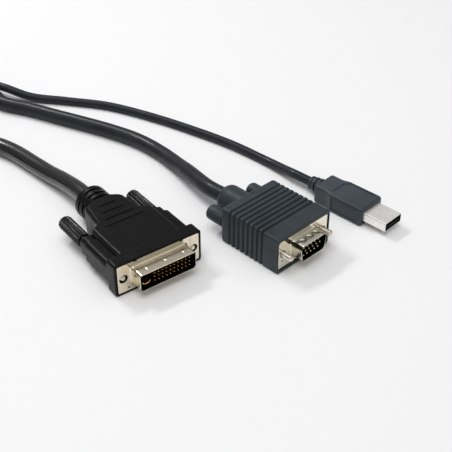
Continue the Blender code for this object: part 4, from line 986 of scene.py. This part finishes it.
def video_outline(shrink=0.0):
    """The keyed outline: wide at the top, with sides that lean inwards towards the bottom."""
    high, low = VIDEO_MIDDLE + VIDEO_SHELL_HEIGHT / 2, VIDEO_MIDDLE - VIDEO_SHELL_HEIGHT / 2
    top = VIDEO_SHELL_WIDTH / 2
    bottom = top - VIDEO_SHELL_HEIGHT * VIDEO_LEAN
    corners = ((-bottom, low), (bottom, low), (top, high), (-top, high))
    return inset(rounded_polygon(corners, (VIDEO_SHELL_RADIUS,) * 4), shrink)


def video_box(width, height, radius):
    return rounded_box(width, VIDEO_MIDDLE - height / 2, VIDEO_MIDDLE + height / 2, radius)


def video_body():
    def body(shrink):
        return rounded_box(VIDEO_WIDTH - 2 * shrink, shrink, VIDEO_HEIGHT - shrink, VIDEO_RADIUS)

    relief = (0.0, VIDEO_MIDDLE)
    stations = [(y, body(shrink)) for y, shrink in ((0.0, 0.4), (0.12, 0.12), (0.4, 0.0))]
    depth, lip = VIDEO_GROOVE_DEPTH, VIDEO_GROOVE_LIP
    profile = ((-lip, 0.0), (0.0, lip * 0.6), (0.22, depth - lip), (0.36, depth))
    for groove in range(VIDEO_GROOVES):
        y = VIDEO_FRONT_BLOCK + groove * VIDEO_GROOVE_PITCH
        stations += mirrored(y, y + VIDEO_GROOVE_WIDTH, profile, body)
    end = VIDEO_BODY_LENGTH
    rear = ((1.2, 0.0), (0.5, 0.22), (0.12, 0.7), (0.0, 1.2))
    stations += [(end - y, body(shrink)) for y, shrink in rear]
    stations.append((end, circle(VIDEO_RELIEF_RADIUS, relief)))
    for back, narrow in rounding(VIDEO_RELIEF_ROUND, range(0, 76, 15)):
        stations.append((VIDEO_END - back, circle(VIDEO_RELIEF_RADIUS - narrow * 0.7, relief)))
    stations.append((VIDEO_END, circle(VIDEO_CABLE / 2 + 0.9, relief)))
    recess = video_box(VIDEO_PLATE_WIDTH + 2 * GAP, VIDEO_PLATE_HEIGHT + 2 * GAP, VIDEO_PLATE_RADIUS + GAP)
    width, height, radius, front, back = VIDEO_CAVITY
    steps = cut(
        bar(recess, -CLEAR, VIDEO_RECESS_END),
        bar(video_box(width, height, radius), front, back),
        rod(0.0, VIDEO_MIDDLE, VIDEO_CABLE / 2 + GAP, *VIDEO_CABLE_HOLE),
        together(screw_holes(VIDEO_SCREWS, VIDEO_MIDDLE, SCREW_RADIUS + GAP, end + CLEAR)),
        dent(*VIDEO_GATE, VIDEO_HEIGHT, 0.6, 0.5, 16),
    )
    piece("video_body", loft(stations), VIDEO_PLUG, SLATE, ("video_plug_overmould",), steps)


def video_face():
    front, back = VIDEO_PLATE_AT, VIDEO_PLATE_AT + VIDEO_PLATE_THICK
    tip = front - VIDEO_SHELL_REACH

    def plate(shrink):
        width, height = VIDEO_PLATE_WIDTH - 2 * shrink, VIDEO_PLATE_HEIGHT - 2 * shrink
        return video_box(width, height, VIDEO_PLATE_RADIUS)

    apart, y, radius, depth = VIDEO_DENTS
    top = VIDEO_MIDDLE + VIDEO_SHELL_HEIGHT / 2
    steps = join(drawn_shell(video_outline, tip, front, VIDEO_SHELL_FLARE, VIDEO_PLATE_THICK / 2))
    steps += cut(
        bar(video_outline(SHELL_WALL), tip - CLEAR, back + CLEAR),
        plate_holes(VIDEO_SCREWS, VIDEO_MIDDLE, SCREW_RADIUS + GAP, VIDEO_EARTH_HOLE),
        together([dent(x, tip + y, top, radius, depth, 40) for x in (-apart, 0.0, apart)]),
    )
    form = loft(eased_ends(front, back, 0.12, plate, 2))
    nodes = ("video_plug_shell",)
    piece("video_face_and_shell", form, VIDEO_PLUG, BRIGHT_TIN, nodes, steps)


def video_pin_places():
    """The middle row is half a pitch along from the other two."""
    for row in range(VIDEO_PIN_ROWS):
        shift = VIDEO_PIN_PITCH / 4 * (1 if row % 2 else -1)
        for column in range(VIDEO_PIN_COLUMNS):
            yield (column - 2) * VIDEO_PIN_PITCH + shift, VIDEO_MIDDLE + (1 - row) * VIDEO_ROW_PITCH


def video_insert():
    form = bar(video_outline(SHELL_WALL + GAP), VIDEO_CARRIER_FRONT, VIDEO_CARRIER_BACK)
    width, height, radius, depth = VIDEO_INSERT_FLANGE
    front = VIDEO_PLATE_AT + VIDEO_PLATE_THICK + GAP
    steps = join(bar(video_box(width, height, radius), front, front + depth))
    radius, depth = VIDEO_PIN_RIM
    rims = [rod(x, z, radius, -2.0, VIDEO_CARRIER_FRONT + depth, 20) for x, z in video_pin_places()]
    radius, back = VIDEO_PIN_RADIUS + PIN_GAP, VIDEO_CARRIER_BACK + CLEAR
    holes = [rod(x, z, radius, -2.0, back, 16) for x, z in video_pin_places()]
    steps += cut(together(rims), together(holes))
    nodes = ("video_plug_contact_carrier",)
    piece("video_insert", form, VIDEO_PLUG, CARRIER, nodes, steps)


def video_pins():
    nose = rounding(VIDEO_PIN_RADIUS, range(80, -1, -20))
    profile = [(VIDEO_PIN_TIP + y, VIDEO_PIN_RADIUS - narrow) for y, narrow in nose]
    profile.append((VIDEO_CARRIER_BACK, VIDEO_PIN_RADIUS))
    for number, place in enumerate(video_pin_places(), 1):
        form = loft([(y, circle(radius, place, 16)) for y, radius in profile])
        nodes = (f"video_plug_pin_{number:02d}",)
        piece(f"video_contact_{number:02d}", form, VIDEO_PLUG, PALE_GOLD, nodes)


def video_thumbscrews():
    front = VIDEO_BODY_LENGTH + GAP
    end = front + VIDEO_KNOB_LENGTH
    radius = VIDEO_KNOB_RADIUS
    profile = [(front + y, radius - narrow) for y, narrow in ((0.0, 0.8), (0.25, 0.35), (0.8, 0.0))]
    rear = rounding(VIDEO_KNOB_ROUND, range(0, 91, 15))
    profile += [(end - back, radius - narrow) for back, narrow in rear]
    for side, word in ((-1, "left"), (1, "right")):
        middle = (side * VIDEO_SCREWS / 2, VIDEO_MIDDLE)
        knob = [(y, circle(radius, middle)) for y, radius in profile]
        thumbscrew("video", word, VIDEO_PLUG, middle, knob, SLATE, front, VIDEO_SCREW_TIP)


# The USB plug


def usb_box(width, height, radius):
    return rounded_box(width, USB_MIDDLE - height / 2, USB_MIDDLE + height / 2, radius)


def usb_body():
    def body(width, shrink=0.0):
        return rounded_box(width - 2 * shrink, shrink, USB_HEIGHT - shrink, USB_RADIUS)

    centre = (0.0, USB_MIDDLE)

    def rib_outline(radius):
        return circle(radius, centre)

    end = USB_BODY_LENGTH
    stations = [(y, body(USB_WIDTH, shrink)) for shrink, y in rounding(USB_NOSE, (0, 20, 40, 60, 90))]
    stations += [
        (USB_WIDE_END - 0.5, body(USB_WIDTH)),
        (USB_WIDE_END + 0.4, body(USB_WIDTH - 0.35)),
        (USB_WAIST_START - 0.4, body(USB_WAIST_WIDTH + 0.35)),
        (USB_WAIST_START + 0.5, body(USB_WAIST_WIDTH)),
        (end - 0.8, body(USB_WAIST_WIDTH)),
        (end - 0.3, body(USB_WAIST_WIDTH, 0.2)),
        (end, body(USB_WAIST_WIDTH, 0.8)),
        (end, rib_outline(USB_RELIEF_CORE)),
    ]
    gap = USB_RELIEF_PITCH - USB_RELIEF_RIB
    for rib, radius in enumerate(USB_RELIEF_RADII):
        y = end + rib * USB_RELIEF_PITCH
        profile = ((0.0, USB_RELIEF_CORE), (0.1, radius - 0.15), (0.28, radius))
        stations += mirrored(y + gap, y + USB_RELIEF_PITCH, profile, rib_outline)
    recess = usb_box(USB_SHELL_WIDTH + 2 * GAP, USB_SHELL_HEIGHT + 2 * GAP, USB_SHELL_RADIUS + GAP)
    width, height, radius, back = USB_CAVITY
    steps = cut(
        together(usb_panels()),
        bar(recess, -CLEAR, USB_SHELL_BACK + GAP),
        bar(usb_box(width, height, radius), USB_SHELL_BACK, back),
        rod(0.0, USB_MIDDLE, USB_CABLE / 2 + GAP, *USB_CABLE_HOLE),
    )
    piece("usb_body", loft(stations), USB_PLUG, USB_SLATE, ("usb_plug_overmould",), steps)


def usb_panels():
    """Cutters for the sunk panels on the plug's top, underside and two sides."""
    front, back = USB_PANEL
    depth, margin = USB_PANEL_DEPTH, USB_PANEL_MARGIN
    half = USB_WIDTH / 2 - margin
    across, along = USB_PANEL_CORNER
    corners = (
        (-half, front),
        (half, front),
        (half, back - along),
        (half - across, back),
        (across - half, back),
        (-half, back - along),
    )
    panel = rounded_polygon(corners, (0.5, 0.5, 0.6, 0.6, 0.6, 0.6))
    panels = [upright(panel, USB_HEIGHT - depth, USB_HEIGHT + CLEAR), upright(panel, -CLEAR, depth)]
    for side in (-1, 1):
        low, high = sorted((side * (USB_WIDTH / 2 - depth), side * (USB_WIDTH / 2 + CLEAR)))
        panels.append(box(low, high, front, USB_WIDE_END - 0.75, margin, USB_HEIGHT - margin))
    return panels


def usb_shell():
    """The folded shell: latch windows above and below, a fold seam underneath and an eased front rim."""
    wall = USB_SHELL_WALL
    front, back = -USB_SHELL_REACH, USB_SHELL_BACK

    def outside(shrink):
        return usb_box(USB_SHELL_WIDTH - 2 * shrink, USB_SHELL_HEIGHT - 2 * shrink, USB_SHELL_RADIUS)

    ends = ((front, 0.12), (front + 0.05, 0.04), (front + 0.15, 0.0), (back, 0.0))
    inside = usb_box(USB_SHELL_WIDTH - 2 * wall, USB_SHELL_HEIGHT - 2 * wall, USB_SHELL_RADIUS - wall)
    x, y, width, length = USB_WINDOW
    bottom, top = USB_MIDDLE - USB_SHELL_HEIGHT / 2, USB_MIDDLE + USB_SHELL_HEIGHT / 2
    windows = []
    for side in (-1, 1):
        outline = rounded_box(width, y - length / 2, y + length / 2, USB_WINDOW_RADIUS, side * x, 4)
        windows.append(upright(outline, top - USB_WINDOW_DEPTH, top + CLEAR))
        windows.append(upright(outline, bottom - CLEAR, bottom + USB_WINDOW_DEPTH))
    seam = box(-0.06, 0.06, front - CLEAR, back - 2.0, bottom - CLEAR, USB_MIDDLE - 1.5)
    steps = cut(bar(inside, front - CLEAR, back + CLEAR), together(windows), seam)
    form = loft([(y, outside(shrink)) for y, shrink in ends])
    piece("usb_folded_shell", form, USB_PLUG, NICKEL, ("usb_plug_shell",), steps)


def usb_tongue():
    half = USB_SHELL_WIDTH / 2 - USB_SHELL_WALL - GAP
    low = USB_MIDDLE - USB_SHELL_HEIGHT / 2 + USB_SHELL_WALL + GAP
    high = low + USB_TONGUE_HEIGHT
    front = -USB_SHELL_REACH + 0.4

    def section(shrink):
        return rounded_box(2 * half - 2 * shrink, low + shrink, high - shrink, 0.15, 0.0, 3)

    profile = ((front, 0.15), (front + 0.15, 0.0), (USB_SHELL_BACK, 0.0))
    form = loft([(y, section(shrink)) for y, shrink in profile])
    wide, start, end, depth = USB_GROOVE
    ends = (front + start, end, high - depth, high + CLEAR)
    grooves = [box(x - wide / 2, x + wide / 2, *ends) for x in USB_CONTACTS]
    steps = cut(together(grooves))
    piece("usb_tongue", form, USB_PLUG, CARRIER, ("usb_plug_tongue",), steps)


# Cables, splitter and tie


def on_plug(plug, x, y, z):
    turned = Matrix.Rotation(math.radians(plug[2]), 2) @ Vector((x, y))
    return Vector((plug[0] + turned.x, plug[1] + turned.y, z))


def leaving(plug, end, height):
    """The cable's first two points: at the plug's rear and straight out of it."""
    out = end + GAP + STRAIGHT_OUT
    return [on_plug(plug, 0.0, end + GAP, height), on_plug(plug, 0.0, out, height * 0.96)]


def splitter_point(along, across):
    heading = math.radians(SPLITTER_HEADING)
    ahead = Vector((math.cos(heading), math.sin(heading)))
    left = Vector((-ahead.y, ahead.x))
    flat = Vector(SPLITTER_INLET) + ahead * along + left * across
    return Vector((flat.x, flat.y, SPLITTER_HEIGHT / 2))


def arriving(way, across):
    """A cable's last two points, straight up to one end of the splitter.

    The way is -1 for the inlet and 1 for the outlets.
    """
    face = SPLITTER_LENGTH if way > 0 else 0.0
    return [splitter_point(face + way * (GAP + reach), across) for reach in (STRAIGHT_IN, 0.0)]


def eased(share):
    share = max(0.0, min(1.0, share))
    return share * share * (3 - 2 * share)


def coil_turns():
    """The wound length, clockwise: outer and inner turn on the floor, up the inner side, down the outer.

    Each change is (degrees travelled, degrees it takes, radius after it, height after it).
    """
    outer, inner = COIL_RADIUS + TRUNK / 2, COIL_RADIUS - TRUNK / 2
    low = TIE_THICK + GAP + TRUNK / 2
    changes = (
        (0.0, 100.0, outer, low),
        (360.0, 100.0, inner, low),
        (630.0, 90.0, inner, low + TRUNK),
        (900.0, 90.0, inner, low + 2 * TRUNK),
        (1160.0, 100.0, outer, low + 2 * TRUNK),
        (1430.0, 90.0, outer, low + TRUNK),
        (1612.0, 77.0, outer + TRUNK + 1.0, low + TRUNK),
    )
    points = []
    steps = round(COIL_TRAVEL / 18.0)
    for k in range(1, steps + 1):
        travelled = COIL_TRAVEL * k / steps
        radius, height = outer + TRUNK + GAP, low
        for start, width, radius_after, height_after in changes:
            share = eased((travelled - start) / width)
            radius += (radius_after - radius) * share
            height += (height_after - height) * share
        drop = eased((travelled - COIL_DROP) / (COIL_TRAVEL - COIL_DROP))
        height += (SPLITTER_HEIGHT / 2 - height) * drop
        angle = math.radians(COIL_START - travelled)
        flat = Vector(COIL_CENTRE) + radius * Vector((math.cos(angle), math.sin(angle)))
        points.append(Vector((flat.x, flat.y, height)))
    return points


def cable(name, points, diameter, look, stands_for):
    """One open Bezier spline through the points, each handle along the chord of its neighbours."""
    curve = bpy.data.curves.new(name, "CURVE")
    curve.dimensions = "3D"
    curve.resolution_u = 10
    curve.bevel_depth = diameter * MM / 2
    curve.bevel_resolution = 8
    curve.use_fill_caps = True
    curve.materials.append(look)
    line = curve.splines.new("BEZIER")
    places = [Vector(p) * MM for p in points]
    line.bezier_points.add(len(places) - 1)
    for i, knot in enumerate(line.bezier_points):
        here = places[i]
        before, after = places[max(0, i - 1)], places[min(len(places) - 1, i + 1)]
        along = (after - before).normalized()
        knot.co = here
        knot.handle_left = here - along * (here - before).length / 3
        knot.handle_right = here + along * (after - here).length / 3
    obj = bpy.data.objects.new(name, curve)
    bpy.context.collection.objects.link(obj)
    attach(obj, "cable")
    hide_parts(*stands_for)
    return obj


def splitter():
    """The moulded block that the trunk cable enters and the two lighter cables leave."""

    def section(width, shrink=0.0):
        return rounded_box(width - 2 * shrink, shrink, SPLITTER_HEIGHT - shrink, SPLITTER_RADIUS)

    soft = rounding(SPLITTER_ROUND, [math.degrees(turn) for turn in (0.0, 0.5, 1.0, math.pi / 2)])
    stations = [(y, section(SPLITTER_NECK, shrink)) for shrink, y in soft]
    for share in SPLITTER_FLARE:
        growth = eased((share - SPLITTER_FLARE[0]) / 0.4)
        width = SPLITTER_NECK + (SPLITTER_WIDTH - SPLITTER_NECK) * growth
        stations.append((SPLITTER_LENGTH * share, section(width)))
    stations += [(SPLITTER_LENGTH - y, section(SPLITTER_WIDTH, shrink)) for shrink, y in reversed(soft)]
    place = (*SPLITTER_INLET, SPLITTER_HEADING - 90.0)
    return piece("splitter_block", loft(stations), place, BLACK, ("cable_splitter",))


def coil_tie():
    """A closed strap round the coil's section, with its fastening on the outside."""
    low = TIE_THICK + GAP
    high = low + COIL_LAYERS * TRUNK
    bevel = TRUNK / 3
    grow = GAP + TIE_THICK

    def strap(shrink):
        span = 2 * TRUNK + 2 * grow - 2 * shrink
        return rounded_box(span, low - grow + shrink, high + grow - shrink, bevel + grow, COIL_RADIUS)

    within = rounded_box(2 * TRUNK + 2 * GAP, low - GAP, high + GAP, bevel + GAP, COIL_RADIUS)
    face = COIL_RADIUS + TRUNK + GAP + TIE_THICK
    half, centre = (high - low) / 8, (low + high) / 2

    def head(shrink):
        left, right = face - TIE_THICK / 2 + shrink, face + TIE_HEAD - shrink
        low, high = centre - half + shrink, centre + half - shrink
        return rounded_box(right - left, low, high, 0.6, (left + right) / 2, 4)

    edge = TIE_WIDTH / 2
    steps = join(loft(eased_ends(-edge - 1.0, edge + 1.0, 0.4, head)))
    steps += cut(bar(within, -TIE_WIDTH, TIE_WIDTH))
    form = loft(eased_ends(-edge, edge, 0.25, strap, 2))
    place = (*COIL_CENTRE, TIE_ANGLE)
    return piece("cable_tie", form, place, BLACK, ("coil_tie",), steps)


def cables():
    block, strap = splitter(), coil_tie()
    points = leaving(BIG_PLUG, BIG_END, BIG_MIDDLE) + list(TRUNK_ROUTE)
    points += coil_turns() + arriving(-1, 0.0)[1:]
    nodes = ("trunk_cable", "trunk_cable_coil", "trunk_cable_tail")
    trunk = cable("trunk_lead", points, TRUNK, TRUNK_JACKET, nodes)
    points = leaving(VIDEO_PLUG, VIDEO_END, VIDEO_MIDDLE) + list(VIDEO_ROUTE)
    points += arriving(1, SPLITTER_VIDEO_OFFSET)
    video = cable("video_lead", points, VIDEO_CABLE, BRANCH_JACKET, ("video_cable",))
    points = leaving(USB_PLUG, USB_END, USB_MIDDLE) + list(USB_ROUTE) + arriving(1, SPLITTER_USB_OFFSET)
    usb = cable("usb_lead", points, USB_CABLE, BRANCH_JACKET, ("usb_cable",))


# Finishes of the CAD nodes that stay


def finish_kept_nodes():
    kept = {
        "big_plug_shield_can": TIN,
        "big_plug_inner_mould": PREMOULD,
        "video_plug_rear_plate": TIN,
        "video_plug_inner_mould": PREMOULD,
        "usb_plug_inner_mould": PREMOULD,
    }
    for number in range(1, len(USB_CONTACTS) + 1):
        kept[f"usb_plug_contact_{number}"] = GOLD
    for name, look in kept.items():
        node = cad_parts[name]
        node.data.materials.clear()
        node.data.materials.append(look)


# Camera, floor and light


def add_camera():
    data = bpy.data.cameras.new("camera")
    data.lens = CAMERA_LENS
    data.sensor_width = 36.0
    data.clip_start = 0.01
    camera = bpy.data.objects.new("camera", data)
    heading, dip = math.radians(CAMERA_HEADING), math.radians(CAMERA_DIP)
    look = Vector((math.cos(dip) * math.sin(heading), math.cos(dip) * math.cos(heading), -math.sin(dip)))
    turned = look.to_track_quat("-Z", "Y").to_matrix().to_4x4()
    camera.matrix_world = Matrix.Translation(Vector(CAMERA_PLACE) * MM) @ turned
    bpy.context.collection.objects.link(camera)
    bpy.context.scene.camera = camera


def add_floor():
    """A white sheet of studio board, wide enough to fill the view."""
    mesh = bpy.data.meshes.new("floor")
    size = FLOOR_SIZE / 2
    corners = [(-size, -size, 0.0), (size, -size, 0.0), (size, size, 0.0), (-size, size, 0.0)]
    mesh.from_pydata(corners, [], [(0, 1, 2, 3)])
    floor = bpy.data.objects.new("floor", mesh)
    bpy.context.collection.objects.link(floor)
    made, tree, shader = new_material("studio_board")
    stops = ((0.3, (0.895, 0.895, 0.895)), (0.7, (0.905, 0.905, 0.905)))
    colour = ramp(tree, noise(tree, BOARD_FIBRES, 4.0), stops)
    feed(tree, shader, Base_Color=colour, Roughness=0.9, Specular_IOR_Level=0.0)
    mesh.materials.append(made)


def add_area(name, place, size, power):
    data = bpy.data.lights.new(name, "AREA")
    data.shape = "RECTANGLE"
    data.size, data.size_y = size
    data.energy = power
    lamp = bpy.data.objects.new(name, data)
    lamp.location = place
    lamp.rotation_euler = (Vector(LIGHT_TARGET) - Vector(place)).to_track_quat("-Z", "Y").to_euler()
    bpy.context.collection.objects.link(lamp)


def add_world():
    """White to the camera; for everything else a studio that is brighter overhead than at the horizon."""
    world = bpy.data.worlds.new("studio")
    world.use_nodes = True
    tree = world.node_tree
    tree.nodes.clear()
    place = tree.nodes.new("ShaderNodeTexCoord").outputs["Generated"]
    parts = add_node(tree, "ShaderNodeSeparateXYZ", Vector=place)
    height = spread(tree, parts.outputs["Z"], 0.0, 1.0, -0.1, 0.9)
    room = add_node(tree, "ShaderNodeBackground", Strength=1.0, Color=ramp(tree, height, ROOM_LIGHT))
    white = add_node(tree, "ShaderNodeBackground", Strength=1.0, Color=(1.0, 1.0, 1.0, 1.0))
    rays = tree.nodes.new("ShaderNodeLightPath")
    mix = add_node(tree, "ShaderNodeMixShader", Fac=rays.outputs["Is Camera Ray"])
    tree.links.new(room.outputs["Background"], mix.inputs[1])
    tree.links.new(white.outputs["Background"], mix.inputs[2])
    add_node(tree, "ShaderNodeOutputWorld", Surface=mix.outputs["Shader"])
    bpy.context.scene.world = world


def main():
    add_camera()
    cables()
    big_body()
    big_face()
    big_insert()
    big_pins()
    big_blade()
    big_thumbscrews()
    video_body()
    video_face()
    video_insert()
    video_pins()
    video_thumbscrews()
    usb_body()
    usb_shell()
    usb_tongue()
    finish_kept_nodes()
    add_floor()
    add_world()
    for lamp in LAMPS:
        add_area(*lamp)
    bpy.context.scene.view_settings.view_transform = "Standard"


main()
